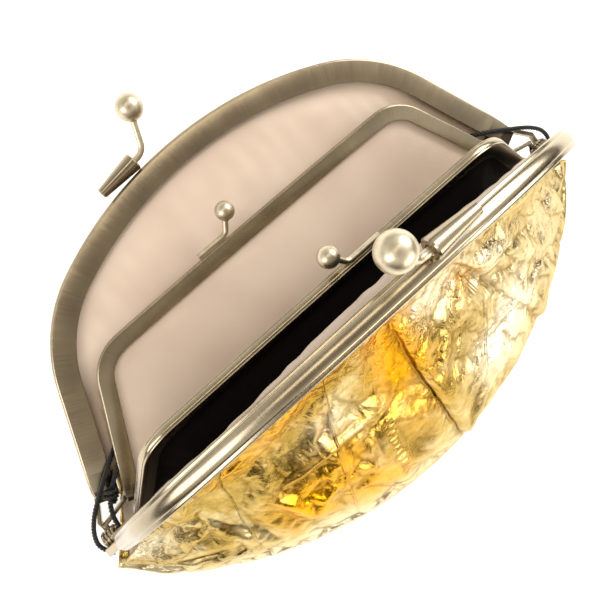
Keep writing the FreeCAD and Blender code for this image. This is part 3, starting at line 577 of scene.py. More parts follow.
# %% Making a piece
def make_mesh(name, points, faces, slot, uv=None, uv_name="brush", values=None):
    """Mesh object from points in mm; uv is one pair per point, and values are extra numbers per point."""
    mesh = bpy.data.meshes.new(name)
    mesh.from_pydata((np.asarray(points, float) * MM).tolist(), [], faces)
    mesh.validate()
    if uv is not None:
        layer = mesh.uv_layers.new(name=uv_name)
        corners = np.zeros(len(mesh.loops), int)
        mesh.loops.foreach_get("vertex_index", corners)
        layer.data.foreach_set("uv", (np.asarray(uv, float) * MM)[corners].ravel())
    for value_name, numbers in (values or {}).items():
        attribute = mesh.attributes.new(value_name, "FLOAT", "POINT")
        attribute.data.foreach_set("value", np.asarray(numbers, np.float32))
    mesh.polygons.foreach_set("use_smooth", [True] * len(mesh.polygons))
    mesh.materials.append(MATERIALS[slot])
    piece = bpy.data.objects.new(name, mesh)
    scene.collection.objects.link(piece)
    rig.slot(piece, slot)
    return piece


def joined(parts):
    """Several parts as one. A part is a dict of points, faces, uv and, where it has some, patina and painted shade."""
    whole = {"points": [], "faces": [], "uv": [], "patina": []}
    for part in parts:
        start = len(whole["points"])
        whole["points"].extend(part["points"])
        whole["faces"].extend([tuple(corner + start for corner in face) for face in part["faces"]])
        whole["uv"].extend(part["uv"])
        whole["patina"].extend(part.get("patina", [0.0] * len(part["points"])))
    return whole


def grid_faces(rows, columns, closed=False):
    """Quads of a grid listed row by row; a closed one joins its last column to its first."""
    faces = []
    for row in range(rows - 1):
        for column in range(columns if closed else columns - 1):
            here, across = row * columns + column, row * columns + (column + 1) % columns
            faces.append((here, across, across + columns, here + columns))
    return faces


def capped_faces(rows, columns):
    """Quads of a tube of closed rings, and a face over each end."""
    last = (rows - 1) * columns
    ends = [tuple(range(columns)), tuple(reversed(range(last, last + columns)))]
    return grid_faces(rows, columns, closed=True) + ends


def ease(share):
    share = np.clip(share, 0, 1)
    return share * share * (3 - 2 * share)


def half_matrix(half):
    """Where a half stands: a front half is turned over, then swung about the hinge line."""
    swing = Matrix.Rotation(math.radians(ANGLES[half]), 4, "X")
    turn = Matrix.Rotation(math.pi, 4, "Y") if half.startswith("front") else Matrix.Identity(4)
    return np.array(Matrix.Translation(HINGE) @ swing @ turn)


def placed(half, points):
    """Points drawn on the closed flat half, moved to where it stands."""
    matrix = half_matrix(half)
    return np.asarray(points, float) @ matrix[:3, :3].T + matrix[:3, 3]


MERGE_DISTANCE, SHARP_ANGLE = 0.0005, 35


def metal_piece(name, part, half, slot, node):
    """Metal piece on a half: doubled points merged, faces turned outwards and edges kept sharp."""
    values = {"patina": part["patina"]} if "patina" in part else None
    piece = make_mesh(name, placed(half, part["points"]), part["faces"], slot, part["uv"], values=values)
    work = bmesh.new()
    work.from_mesh(piece.data)
    bmesh.ops.remove_doubles(work, verts=work.verts, dist=MERGE_DISTANCE * MM)
    bmesh.ops.recalc_face_normals(work, faces=work.faces)
    work.to_mesh(piece.data)
    work.free()
    piece.data.set_sharp_from_angle(angle=math.radians(SHARP_ANGLE))
    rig.ride(piece, half)
    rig.replaces(piece, node)
    print(name, len(piece.data.polygons), "faces")


# %% [markdown]
# Every half of the frame is a strip bent to the same kind of arch: a leaning side, a corner and one long
# top curve. The arch is worked out once, here, and the channel, its packing cord and the sheets follow it.

# %% The arch
OUTER = dict(name="outer", half_width=88.7, lean=25.5, corner=44.6, top=118.1, apex=72.3, face=6.5,
             depth=5.2, wall=0.7, end=10.0, bead_half=1.7, bead_height=0.7)
INNER = dict(name="inner", half_width=80.0, lean=30.0, corner=14.0, top=3000.0, apex=43.0, face=4.3,
             depth=2.8, wall=0.6, end=5.0, bead_half=0.8, bead_height=0.25)
PARTING_GAP = 0.15
KINDS = {"rear_outer": OUTER, "front_outer": OUTER, "rear_inner": INNER, "front_inner": INNER}


class Arch:
    """Arch moved inwards by an inset, from share -1 at its left end to share 1 at its right end."""

    def __init__(self, kind, inset=0.0, end=None):
        lean = math.radians(kind["lean"])
        end = kind["end"] if end is None else end
        self.corner, self.top, self.apex = kind["corner"] - inset, kind["top"] - inset, kind["apex"] - inset
        foot = kind["half_width"] - inset / math.cos(lean)
        along = np.array([-math.sin(lean), math.cos(lean)])
        self.outward = np.array([math.cos(lean), math.sin(lean)])
        self.top_centre = np.array([0, self.apex - self.top])
        start = np.array([foot, 0]) - self.outward * self.corner
        offset = start - self.top_centre
        back = offset @ along
        slide = math.sqrt(back ** 2 - offset @ offset + (self.top - self.corner) ** 2) - back
        self.corner_centre = start + along * slide
        self.side_end = np.array([foot - end * math.tan(lean), end])
        self.side_top = self.corner_centre + self.outward * self.corner
        self.side_angle = lean
        spoke = self.corner_centre - self.top_centre
        self.top_angle = math.atan2(spoke[1], spoke[0])
        self.side_length = np.linalg.norm(self.side_top - self.side_end)
        self.corner_length = self.corner * (self.top_angle - self.side_angle)
        self.length = self.side_length + self.corner_length + self.top * (math.pi / 2 - self.top_angle)

    def station(self, share):
        """Point on the arch and the direction towards the purse's middle."""
        run = (1 - abs(share)) * self.length
        if run <= self.side_length:
            spot = self.side_end + (self.side_top - self.side_end) * (run / self.side_length)
            spoke = self.outward
        elif run <= self.side_length + self.corner_length:
            angle = self.side_angle + (run - self.side_length) / self.corner
            spoke = np.array([math.cos(angle), math.sin(angle)])
            spot = self.corner_centre + spoke * self.corner
        else:
            angle = self.top_angle + (run - self.side_length - self.corner_length) / self.top
            spoke = np.array([math.cos(angle), math.sin(angle)])
            spot = self.top_centre + spoke * self.top
        mirror = np.array([-1.0 if share < 0 else 1.0, 1.0])
        return spot * mirror, -spoke * mirror


print("outer arch", round(2 * Arch(OUTER).length, 1), "mm long, inner", round(2 * Arch(INNER).length, 1))

# %% [markdown]
# A frame half is pressed from strip: two flanges, a web between them, and a half-round bead along the web
# that stops short of the ends. It is a section swept along the arch. The bead makes the section change near
# the ends, so the sweep is written as a loop over stations instead of one fixed profile.

# %% Frame halves
STATIONS = 150
FILLET_STEPS = 4
BEAD_STEPS = 10
EDGE_RADIUS = 0.22
BEND_RADIUS = {"outer": 1.1, "inner": 0.75}
END_TAPER = {"outer": (13.0, 0.55), "inner": (6.0, 0.75)}
# The bead stops short of the end, after a run-out of so many half widths; it never quite closes to a line
BEAD_STOP, BEAD_RUN_OUT, BEAD_LEAST = 1.5, 3, 0.02
EAR = dict(face=88.5, radius=3.0, thickness=0.9, gap=0.15, overlap=1.5, step=0.6, clearance=0.4, bevel=0.2,
           chamfer=0.18)
EAR_SEGMENTS = 32
LONGEST_FILLET = 0.49
# How dark the channel's patina and the back flange's painted shade are, and where they begin: a share of the wall,
# then mm
PATINA_AND_SHADE = dict(shade=0.85, web=0.9, floor=0.1, lip=0.3, edge=0.5)


def rounded(corners):
    """Closed outline with each corner given as across, up and radius, rounded by short curves."""
    spots = [np.array(corner[:2], float) for corner in corners]
    outline = []
    for index, corner in enumerate(corners):
        here, before, after = spots[index], spots[index - 1], spots[(index + 1) % len(spots)]
        back, ahead = before - here, after - here
        back_length, ahead_length = np.linalg.norm(back), np.linalg.norm(ahead)
        back, ahead = back / back_length, ahead / ahead_length
        radius = corner[2]
        if radius == 0:
            outline.append(here)
            continue
        half_turn = (math.pi - math.acos(np.clip(back @ ahead, -1, 1))) / 2
        tangent = min(radius * math.tan(half_turn), LONGEST_FILLET * back_length,
                      LONGEST_FILLET * ahead_length)
        enter, leave = here + back * tangent, here + ahead * tangent
        for step in range(FILLET_STEPS + 1):
            share = step / FILLET_STEPS
            outline.append((1 - share) ** 2 * enter + 2 * share * (1 - share) * here + share ** 2 * leave)
    return outline


def narrowed(kind, run):
    """How wide the web is near its end, as a share: it tapers to a tab over the hinge."""
    length, least = END_TAPER[kind["name"]]
    return least + (1 - least) * ease(run / length)


def channel_section(kind, bead_share, run):
    """Section of the strip as inset and level below the parting plane; bead_share swells the bead."""
    face, depth, wall, bend = kind["face"], kind["depth"], kind["wall"], BEND_RADIUS[kind["name"]]
    half = kind["bead_half"] * max(bead_share, BEAD_LEAST)
    height = kind["bead_height"] * bead_share
    middle = -(depth + PARTING_GAP) / 2
    corners = [(face, -PARTING_GAP, EDGE_RADIUS), (0, -PARTING_GAP, bend)]
    for step in range(BEAD_STEPS + 1):
        turn = math.pi * step / BEAD_STEPS
        corners.append((-height * math.sin(turn), middle + half * math.cos(turn), 0))
    floor, roof = wall - depth, -PARTING_GAP - wall
    corners += [(0, -depth, bend), (face, -depth, EDGE_RADIUS), (face, floor, EDGE_RADIUS), (wall, floor, 0),
                (wall, roof, 0), (face, roof, EDGE_RADIUS)]
    width = narrowed(kind, run)
    return [(inset, middle + (level - middle) * width) for inset, level in rounded(corners)]


def section_patina_and_shade(kind, outline):
    """Patina inside the channel, where no brush reached, and painted shade on the pouch frame's back flange, for the
    dark it reflects.
    """
    shades = []
    for inset, level in outline:
        inside = (inset > kind["wall"] * PATINA_AND_SHADE["web"]
                  and PATINA_AND_SHADE["floor"] - kind["depth"] < level < -PARTING_GAP - PATINA_AND_SHADE["lip"])
        # Painted shade: the back flange of the pouch's frame stands dark for the shaded inside that it reflects
        back = kind is INNER and level < PATINA_AND_SHADE["lip"] - kind["depth"] and inset > PATINA_AND_SHADE["edge"]
        shades.append(PATINA_AND_SHADE["shade"] if inside or back else 0.0)
    return shades


def swept_channel(kind):
    """The strip along the whole arch, closed at both ends."""
    arch = Arch(kind)
    bead_end = BEAD_RUN_OUT * kind["bead_half"]
    points, uv, patina = [], [], []
    # Stations stand closer together towards the ends, where the strip tapers
    shares = np.sin(np.linspace(-1, 1, STATIONS) * math.pi / 2)
    for share in shares:
        spot, inward = arch.station(share)
        run = (1 - abs(share)) * arch.length
        swell = math.sqrt(1 - (1 - np.clip((run - BEAD_STOP) / bead_end, 0, 1)) ** 2)
        outline = channel_section(kind, swell, run)
        girth = 0.0
        before = outline[0]
        shade = section_patina_and_shade(kind, outline)
        for (inset, level), dark in zip(outline, shade):
            girth += math.hypot(inset - before[0], level - before[1])
            before = (inset, level)
            points.append((*(spot + inward * inset), level))
            uv.append((share * arch.length, girth))
            patina.append(dark)
    faces = capped_faces(STATIONS, len(points) // STATIONS)
    return {"points": points, "faces": faces, "uv": uv, "patina": patina}


def neck_and_ear(kind, layer, sign):
    """Strap from the channel's end to the hinge, with a round ear on the rivet."""
    outer = EAR["face"] - layer * (EAR["thickness"] + EAR["gap"])
    inner = outer - EAR["thickness"]
    knee = EAR["radius"] + EAR["clearance"]
    if kind is OUTER:
        knee += EAR["thickness"] + EAR["clearance"]
    tall = kind["end"] + EAR["overlap"]
    web = kind["half_width"] - tall * math.tan(math.radians(kind["lean"]))
    outside = [(outer, 0.0), (outer, knee + EAR["thickness"]), (web, tall)]
    inside = [(inner, 0.0), (inner, knee), (web - EAR["thickness"], tall - EAR["thickness"])]
    middle, width = -(kind["depth"] + PARTING_GAP) / 2, narrowed(kind, 0)
    low, high = (middle + (level - middle) * width for level in (EAR["step"] - kind["depth"], -PARTING_GAP))
    bevel, chamfer, radius = EAR["bevel"], EAR["chamfer"], EAR["radius"]
    corners = ((0, high - bevel), (bevel, high), (1 - bevel, high), (1, high - bevel),
               (1, low + bevel), (1 - bevel, low), (bevel, low), (0, low + bevel))
    points, uv = [], []
    for (out_x, out_y), (in_x, in_y) in zip(outside, inside):
        for across, level in corners:
            points.append((sign * (out_x + (in_x - out_x) * across), out_y + (in_y - out_y) * across, level))
            uv.append((out_y, level))
    strap = {"points": points, "faces": capped_faces(len(outside), len(corners)), "uv": uv}
    ear = turned([(outer, 0.0), (outer, radius - chamfer), (outer - chamfer, radius),
                  (inner + chamfer, radius), (inner, radius - chamfer), (inner, 0.0)], EAR_SEGMENTS)
    ear["points"] = [(sign * x, y, z) for x, y, z in ear["points"]]
    return [strap, ear]


def turned(profile, segments):
    """Profile of along and radius turned about the X axis."""
    points, uv = [], []
    for along, radius in profile:
        for step in range(segments):
            angle = 2 * math.pi * step / segments
            points.append((along, radius * math.cos(angle), radius * math.sin(angle)))
            uv.append((radius * angle, along))
    return {"points": points, "faces": grid_faces(len(profile), segments, closed=True), "uv": uv}


# Place of each half's right and left ear on the rivet, counted from outside
LAYERS = {"rear_outer": (0, 1), "front_outer": (0, 1), "rear_inner": (3, 2), "front_inner": (3, 2)}


def make_frame(half):
    kind = KINDS[half]
    right, left = LAYERS[half]
    whole = joined([swept_channel(kind), *neck_and_ear(kind, right, 1), *neck_and_ear(kind, left, -1)])
    metal_piece(f"{half}_frame_half", whole, half, "antique_brass", f"{half}_frame")


for half in KINDS:
    make_frame(half)

# %% [markdown]
# The kiss lock is a ball on a bent wire. On the outer frame the wire comes out of a cone that is soldered to
# the frame's edge; on the pouch's frame it is soldered straight on. Ball, cone and rivet are turned shapes,
# and the wire is a round section swept along a path with one bend.

# %% Lock and rivet shapes
ROUND_SEGMENTS = 40
# Collar of a ball: widths as shares of the wire's, and how far it stands out in mm
COLLAR = dict(neck=1.25, bore=0.98, wide=1.22, back=0.35, front=0.3)
# A direction that no wire runs along, to start its section from
ASKEW = (0.3, 0.2, 1.0)


def along_axis(part, start, direction):
    """Moves a part turned about X so that its axis runs from start along a direction."""
    turn = np.array(Vector((1, 0, 0)).rotation_difference(Vector(direction)).to_matrix())
    part["points"] = np.asarray(part["points"]) @ turn.T + np.asarray(start)
    return part


def ball_profile(radius, wire_radius, steps=30):
    """Ball with a short collar where the wire goes in."""
    neck = math.asin(wire_radius * COLLAR["neck"] / radius)
    foot = -radius * math.cos(neck)
    profile = [(foot - COLLAR["back"], wire_radius * COLLAR["bore"]),
               (foot - COLLAR["front"], wire_radius * COLLAR["wide"])]
    for step in range(steps + 1):
        angle = neck + (math.pi - neck) * step / steps
        profile.append((-radius * math.cos(angle), max(radius * math.sin(angle), 0.0)))
    return profile


def tube(path, radius, sides=18):
    """Round section swept along a path of points, with its frame carried along without twist."""
    path = np.asarray(path, float)
    tangents = np.gradient(path, axis=0)
    tangents /= np.linalg.norm(tangents, axis=1)[:, None]
    side = np.cross(tangents[0], ASKEW)
    points, uv = [], []
    run = 0.0
    for index, (spot, tangent) in enumerate(zip(path, tangents)):
        side = side - tangent * (side @ tangent)
        side /= np.linalg.norm(side)
        other = np.cross(tangent, side)
        run += np.linalg.norm(spot - path[index - 1]) if index else 0.0
        for step in range(sides):
            angle = 2 * math.pi * step / sides
            points.append(spot + radius * (math.cos(angle) * side + math.sin(angle) * other))
            uv.append((run, radius * angle))
    return {"points": points, "faces": capped_faces(len(path), sides), "uv": uv}


def bent_path(start, corner, end, bend, steps=14):
    """Two straight runs with a round bend of a given radius between them."""
    start, corner, end = (np.asarray(spot, float) for spot in (start, corner, end))
    back = (start - corner) / np.linalg.norm(start - corner)
    ahead = (end - corner) / np.linalg.norm(end - corner)
    half_turn = (math.pi - math.acos(np.clip(back @ ahead, -1, 1))) / 2
    tangent = bend * math.tan(half_turn)
    inward = (back + ahead) / np.linalg.norm(back + ahead)
    centre = corner + inward * (bend / math.cos(half_turn))
    path = [start]
    first, last = corner + back * tangent - centre, corner + ahead * tangent - centre
    axis = np.cross(first, last)
    axis /= np.linalg.norm(axis)
    for step in range(steps + 1):
        angle = 2 * half_turn * step / steps
        path.append(centre + first * math.cos(angle) + np.cross(axis, first) * math.sin(angle))
    path.append(end)
    return path


# %% Locks
SOCKET = dict(length=12.8, wide=5.2, narrow=3.0, wide_x=12.5, tilt=6.3, setback=1.0, gap=0.55, bore=6.0,
              rim=0.35, clearance=0.05)
OUTER_LOCK = dict(ball=7.6, ball_x=4.5, rise=13.3, lean=2.4, wire=1.8, bend=4.0, exit=3.5)
INNER_LOCK = dict(ball=5.5, ball_x=3.5, rise=6.5, lean=0.6, wire=1.6, bend=2.6, corner_x=7.0, foot=10.0,
                  setback=1.4, gap=0.35)
BALL_BORE = 2.0


def make_lock_ball(half, lock, centre, corner):
    stalk = (centre - corner) / np.linalg.norm(centre - corner)
    profile = ball_profile(lock["ball"] / 2, lock["wire"] / 2)
    ball = along_axis(turned(profile, ROUND_SEGMENTS), centre, stalk)
    metal_piece(f"{half}_ball", ball, half, "satin_nickel", f"{half}_lock_ball")
    return centre - stalk * (lock["ball"] / 2 - BALL_BORE)


def make_outer_lock(half):
    arch = Arch(OUTER)
    rim = arch.top_centre[1] + math.sqrt(arch.top ** 2 - SOCKET["wide_x"] ** 2)
    wide = np.array([-SOCKET["wide_x"], rim + SOCKET["wide"] / 2 + SOCKET["gap"], -SOCKET["setback"]])
    tilt = math.radians(SOCKET["tilt"])
    along = np.array([math.cos(tilt), math.sin(tilt), 0])
    length, lip, depth = SOCKET["length"], SOCKET["rim"], SOCKET["length"] - SOCKET["bore"]
    narrow, broad = SOCKET["narrow"] / 2, SOCKET["wide"] / 2
    bore = OUTER_LOCK["wire"] / 2 + SOCKET["clearance"]
    cone = turned([(0, 0), (0, narrow - lip), (lip, narrow), (length - lip, broad), (length, broad - lip),
                   (length, bore + lip), (length - lip, bore), (depth, bore), (depth, 0)], ROUND_SEGMENTS)
    metal_piece(f"{half}_socket", along_axis(cone, wide - along * length, along), half, "antique_brass",
                f"{half}_lock_socket")
    corner = wide + along * OUTER_LOCK["exit"]
    centre = np.array([-OUTER_LOCK["ball_x"], OUTER["apex"] + OUTER_LOCK["rise"], OUTER_LOCK["lean"]])
    end = make_lock_ball(half, OUTER_LOCK, centre, corner)
    path = bent_path(wide - along * SOCKET["bore"], corner, end, OUTER_LOCK["bend"])
    metal_piece(f"{half}_wire", tube(path, OUTER_LOCK["wire"] / 2), half, "satin_nickel", f"{half}_lock_wire")


def make_inner_lock(half):
    lift = INNER["apex"] + INNER_LOCK["wire"] / 2 + INNER_LOCK["gap"]
    corner = np.array([-INNER_LOCK["corner_x"], lift, -INNER_LOCK["setback"]])
    centre = np.array([-INNER_LOCK["ball_x"], INNER["apex"] + INNER_LOCK["rise"], INNER_LOCK["lean"]])
    end = make_lock_ball(half, INNER_LOCK, centre, corner)
    path = bent_path(corner - np.array([INNER_LOCK["foot"], 0, 0]), corner, end, INNER_LOCK["bend"])
    metal_piece(f"{half}_wire", tube(path, INNER_LOCK["wire"] / 2), half, "satin_nickel", f"{half}_lock_wire")


for half in ("rear_outer", "front_outer"):
    make_outer_lock(half)
for half in ("rear_inner", "front_inner"):
    make_inner_lock(half)

# %% [markdown]
# One rivet at each end goes through four ears, one of each half. Its head and foot are domes, so the whole
# rivet is one profile, turned about the hinge line.

# %% Hinge rivets
RIVET = dict(diameter=2.0, head=3.8, height=0.8)
RIVET_SEGMENTS, DOME_STEPS, EAR_COUNT = 28, 8, 4


def make_rivet(side, sign):
    face = EAR["face"] + EAR["gap"]
    foot = EAR["face"] - EAR_COUNT * (EAR["thickness"] + EAR["gap"])
    shank, head, tall = RIVET["diameter"] / 2, RIVET["head"] / 2, RIVET["height"]
    angles = np.linspace(0, math.pi / 2, DOME_STEPS)
    dome = [(math.cos(angle) * tall, math.sin(angle) * head) for angle in angles]
    profile = [(foot - rise, radius) for rise, radius in dome] + [(foot, shank), (face, shank)]
    profile += [(face + rise, radius) for rise, radius in reversed(dome)]
    part = turned(profile, RIVET_SEGMENTS)
    part["points"] = np.asarray(part["points"]) * (sign, 1, 1)
    metal_piece(f"{side}_rivet", part, "rear_outer", "antique_brass", f"{side}_hinge_rivet")


make_rivet("left", -1)
make_rivet("right", 1)

# %% [markdown]
# The soft sheets hang from inside the channels and end at a seam. A sheet is a grid of points with two of its
# own coordinates: share, from the left end to the right, and down, from the frame to the seam. Folds and
# wrinkles are added in those coordinates, so that they follow the leather and not the room.

# %% Sheet grids
LEATHER, LINING, POUCH = 1.0, 0.5, 0.45
LAYER_GAP, CLOSE_GAP = 0.2, 0.15
BAG = dict(half_width=92.0, side_drop=8.0, depth=54.0, height=6.0)
POUCH_BAG = dict(half_width=66.0, side_drop=6.0, depth=36.0, height=7.5)
MOUTH_RUN = 1.5
CHANNEL_SEAT = 1.4
BELLY_SHARE = 0.35
SEAM_SHARE = 0.2
TABLE_PRESS = 0.3
LEATHER_LEVEL = OUTER["depth"] - OUTER["wall"] - LAYER_GAP - LEATHER / 2
POUCH_LEVEL = INNER["depth"] - INNER["wall"] - CLOSE_GAP - POUCH / 2
SHEETS = {}


def seam_point(share, bag):
    """Rounded lower seam: share -1 is its left end and 0 its lowest point."""
    sag = bag["depth"] - bag["side_drop"]
    radius = (bag["half_width"] ** 2 + sag ** 2) / (2 * sag)
    angle = share * math.asin(bag["half_width"] / radius)
    drop = radius - bag["depth"] - radius * math.cos(angle)
    return np.array([radius * math.sin(angle), drop, bag["height"]])


def hanging(fall, belly, lean, short_lean):
    """A sheet that leaves its channel straight and swells before its seam, with its own lean where short."""
    def hang(top, heading, seam, down, reach):
        scale = np.linalg.norm(seam - top) / reach
        turn = math.radians(short_lean + (lean - short_lean) * scale)
        swell = np.array([0, -math.sin(turn), math.cos(turn)])
        above, below = top + heading * fall * scale, seam + swell * belly * scale
        rest = 1 - down
        upper = top * rest ** 3 + above * 3 * rest ** 2 * down
        return upper + below * 3 * rest * down ** 2 + seam * down ** 3

    return hang


def lying(top, heading, seam, down, reach):
    """A sheet that drops from the channel to the table and rises again to its seam."""
    belly = LEATHER / 2 - TABLE_PRESS
    spot = top + (seam - top) * down
    fall = top[2] + (belly - top[2]) * ease(down / BELLY_SHARE)
    spot[2] = fall + (seam[2] - fall) * ease((down - 1 + SEAM_SHARE) / SEAM_SHARE)
    return spot


class Sheet:
    """Grid of a sheet's middle surface with its share and down coordinates."""

    def __init__(self, half, level, bag, lift, hang, columns, rows, channel_rows=5, span=1.0):
        kind = KINDS[half]
        self.half = half
        self.columns, self.rows = columns, rows + channel_rows
        turned_over = -1 if half.startswith("front") else 1
        seat = kind["wall"] + CHANNEL_SEAT * kind["face"] / OUTER["face"]
        mouth = kind["face"] + MOUTH_RUN
        end = kind["end"] + MOUTH_RUN
        shares = np.linspace(-span, span, columns)

        def channel_row(inset):
            arch = Arch(kind, inset, end)
            return placed(half, [(*arch.station(share * turned_over)[0], -level) for share in shares])

        insets = np.linspace(seat, mouth, channel_rows)
        grid = [channel_row(inset) for inset in insets]
        headings = grid[-1] - grid[-2]
        headings /= np.linalg.norm(headings, axis=1)[:, None]
        seams = np.array([seam_point(share, bag) + (0, 0, lift) for share in shares])
        reach = np.linalg.norm(seams[columns // 2] - grid[-1][columns // 2])
        downs = np.linspace(0, 1, rows + 1)[1:]
        for down in downs:
            grid.append(np.array([hang(top, heading, seam, down, reach)
                                  for top, heading, seam in zip(grid[channel_rows - 1], headings, seams)]))
        self.points = np.array(grid)
        self.share, self.down = np.meshgrid(shares, np.concatenate([np.zeros(channel_rows), downs]))
        self.reach = reach
        self.width = Arch(kind, mouth, end).length

    def normals(self):
        """Square to the sheet: up from a rear one, out of the purse from a front one."""
        normal = np.cross(np.gradient(self.points, axis=0), np.gradient(self.points, axis=1))
        return normal / np.linalg.norm(normal, axis=2)[..., None]

    def push(self, distance):
        """Moves every point along its normal."""
        self.points = self.points + self.normals() * np.asarray(distance)[..., None]

    def flat(self):
        """Across and down in millimetres, as on the cut sheet."""
        return self.share * self.width, self.down * self.reach


def area_of(points):
    """Area of a grid in square metres."""
    across, down = np.diff(points, axis=1)[:-1], np.diff(points, axis=0)[:, :-1]
    return np.linalg.norm(np.cross(across, down), axis=2).sum() * MM * MM


def sheet_piece(name, sheet, thickness, slot, node, values=None, painted_shade_back=None):
    """Piece of a sheet with its thickness and, where it has one, a painted shade cloth on its back."""
    across, down = sheet.flat()
    uv = np.stack([across, down], axis=2).reshape(-1, 2)
    faces = grid_faces(sheet.rows, sheet.columns)
    flat_values = {key: np.asarray(value).ravel() for key, value in (values or {}).items()}
    piece = make_mesh(name, sheet.points.reshape(-1, 3), faces, slot, uv, "cloth", flat_values)
    solid = piece.modifiers.new("thickness", "SOLIDIFY")
    solid.thickness = thickness * MM
    solid.offset = 0.0
    if painted_shade_back:
        piece.data.materials.append(painted_shade_back)
        solid.material_offset = 1
    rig.replaces(piece, node)
    SHEETS[name] = piece, sheet
    print(name, round(area_of(sheet.points), 4), "square metres")
    return piece


# %% [markdown]
# Crumpled foil leather is folds on folds. Three things are added up: long folds, drawn as lines in
# the sheet's own coordinates from the photograph; facets, where each cell of a cell pattern tilts its own
# way; and fine wrinkles. The sharpest hollows also become a crease value that the material darkens.

# %% Folds and facets
FACETS = dict(cell=26.0, slope=0.03, depth=0.06, warp=0.35, warp_scale=0.9, tilt_scale=7.3, fade=0.25,
              edge=0.07)
FAR_AWAY = 1e9
UNDER_SHARE = 0.45


def line_distance(sheet, line):
    """Signed distance of every point to a line of shares in mm, and how far along it the nearest spot is."""
    across, down = sheet.flat()
    corners = np.asarray(line) * (sheet.width, sheet.reach)
    best = np.full(across.shape, FAR_AWAY)
    signed, along = np.zeros(across.shape), np.zeros(across.shape)
    for index, (start, end) in enumerate(zip(corners, corners[1:])):
        run = end - start
        share = np.clip(((across - start[0]) * run[0] + (down - start[1]) * run[1]) / (run @ run), 0, 1)
        gap_x, gap_y = across - start[0] - share * run[0], down - start[1] - share * run[1]
        gap = np.hypot(gap_x, gap_y)
        side = np.where(run[0] * gap_y < run[1] * gap_x, -1, 1)
        nearer = gap < best
        best = np.where(nearer, gap, best)
        signed = np.where(nearer, gap * side, signed)
        along = np.where(nearer, (index + share) / (len(corners) - 1), along)
    return signed, along


def within_ends(along, taper):
    """1 along most of a line, falling to 0 at both ends."""
    return ease(along / taper) * ease((1 - along) / taper)


def ridge(sheet, line, height, width, taper=0.18):
    """A raised fold along a line, fading at both ends."""
    signed, along = line_distance(sheet, line)
    return height * np.exp(-(signed / width) ** 2) * within_ends(along, taper)


def overlap(sheet, line, height, run_out, edge, taper=0.1):
    """A fold that lies over its neighbour: a sharp edge on one side and a long slope on the other."""
    signed, along = line_distance(sheet, line)
    over = np.where(signed < 0, np.exp(signed / run_out), -UNDER_SHARE * np.exp(-signed / run_out))
    return height * over * np.tanh(np.abs(signed) / edge) * within_ends(along, taper)


def at_points(sheet, widths, seed, measure):
    """A measure of noise at every point of the cut sheet, with its width in mm across and down."""
    across, down = sheet.flat()
    spots = np.stack([across / widths[0], down / widths[1], np.full(across.shape, seed)], axis=2)
    return np.array([[measure(Vector(spot)) for spot in row] for row in spots])


def cell_facets(sheet, seed):
    """Cells that each tilt their own way, with a crease along their edges."""
    steep = FACETS["slope"] * FACETS["cell"]

    def facet(spot):
        spot = spot + FACETS["warp"] * noise.noise_vector(spot * FACETS["warp_scale"])
        gaps, centres = noise.voronoi(spot)
        edge, away = gaps[1] - gaps[0], spot - centres[0]
        tilt = noise.cell_vector(centres[0] * FACETS["tilt_scale"])
        rise = steep * min(1.0, edge / FACETS["fade"]) * (tilt.x * away.x + tilt.y * away.y)
        return rise - FACETS["depth"] * math.exp(-edge / FACETS["edge"])

    return at_points(sheet, (FACETS["cell"], FACETS["cell"]), seed, facet)


def wrinkle(sheet, widths, height, seed, octaves):
    """Ridged wrinkles, with their own width across the sheet and down it."""
    values = at_points(sheet, widths, seed, lambda spot: noise.turbulence(spot, octaves, True))
    return height * (values - values.mean())


def free_share(sheet, hold=0.05, seam_hold=0.06):
    """0 where the frame and the seam hold the sheet, 1 where it is free to fold."""
    return ease(sheet.down / hold) * ease((1 - sheet.down) / seam_hold)


# %% [markdown]
# The front leather hangs from its half and shows most of the folds. It starts as a smooth sheet with the main
# folds of the CAD panel and many small ones. Then a short cloth simulation, in which it is cut a little too
# large, lets it buckle between its frame and its seam: sculpted folds alone look stiff.

# %% Front leather
FRONT_COLUMNS, FRONT_ROWS = 300, 140
# Fall and belly in mm, lean and lean where short in degrees
BAG_HANG = (24.0, 26.0, -28.0, 15.0)
SEAM_STEP = 0.35
FOLD = dict(height=2.4, run=14.0, width=7.0, taper=0.16, start=0.07)
# Lines of share across and share down, with a share of the fold height; the CAD panel has the same ones.
# A pleat also has the width of its edge in mm
FRONT_PLEATS = [
    ([(0.0, 0.0), (0.04, 0.23), (0.06, 0.44), (0.07, 0.64), (0.09, 0.96)], 1.0, 0.7),
    ([(0.17, 0.02), (0.33, 0.26), (0.46, 0.64), (0.5, 0.92)], 0.8, 2.0),
    ([(-0.3, 0.02), (-0.22, 0.2), (-0.11, 0.47), (-0.12, 0.85)], 0.55, 6.0),
]
FRONT_RIDGES = [
    ([(-0.49, 0.56), (-0.35, 0.51), (-0.23, 0.49)], 0.8),
    ([(-0.94, 0.73), (-0.76, 0.64), (-0.55, 0.6)], 0.6),
    ([(-0.94, 0.92), (-0.74, 0.86), (-0.57, 0.84)], 0.5),
    ([(-0.25, 0.56), (-0.27, 0.74), (-0.29, 0.92)], 0.45),
    ([(0.26, 0.22), (0.54, 0.28), (0.84, 0.45)], 0.6),
    ([(0.5, 0.5), (0.7, 0.6), (0.88, 0.73)], 0.6),
    ([(0.11, 0.42), (0.21, 0.48), (0.31, 0.44)], 0.5),
    ([(0.12, 0.73), (0.24, 0.8), (0.4, 0.72)], 0.6),
]
# Small folds that only the looks need: points, height and width in mm
FRONT_CREASES = [
    ([(0.32, 0.1), (0.58, 0.13), (0.85, 0.22)], 0.6, 1.6),
    ([(-0.75, 0.13), (-0.6, 0.21), (-0.42, 0.19)], 0.6, 1.6),
    ([(-0.45, 0.45), (-0.28, 0.43), (-0.1, 0.44)], 0.6, 1.4),
]


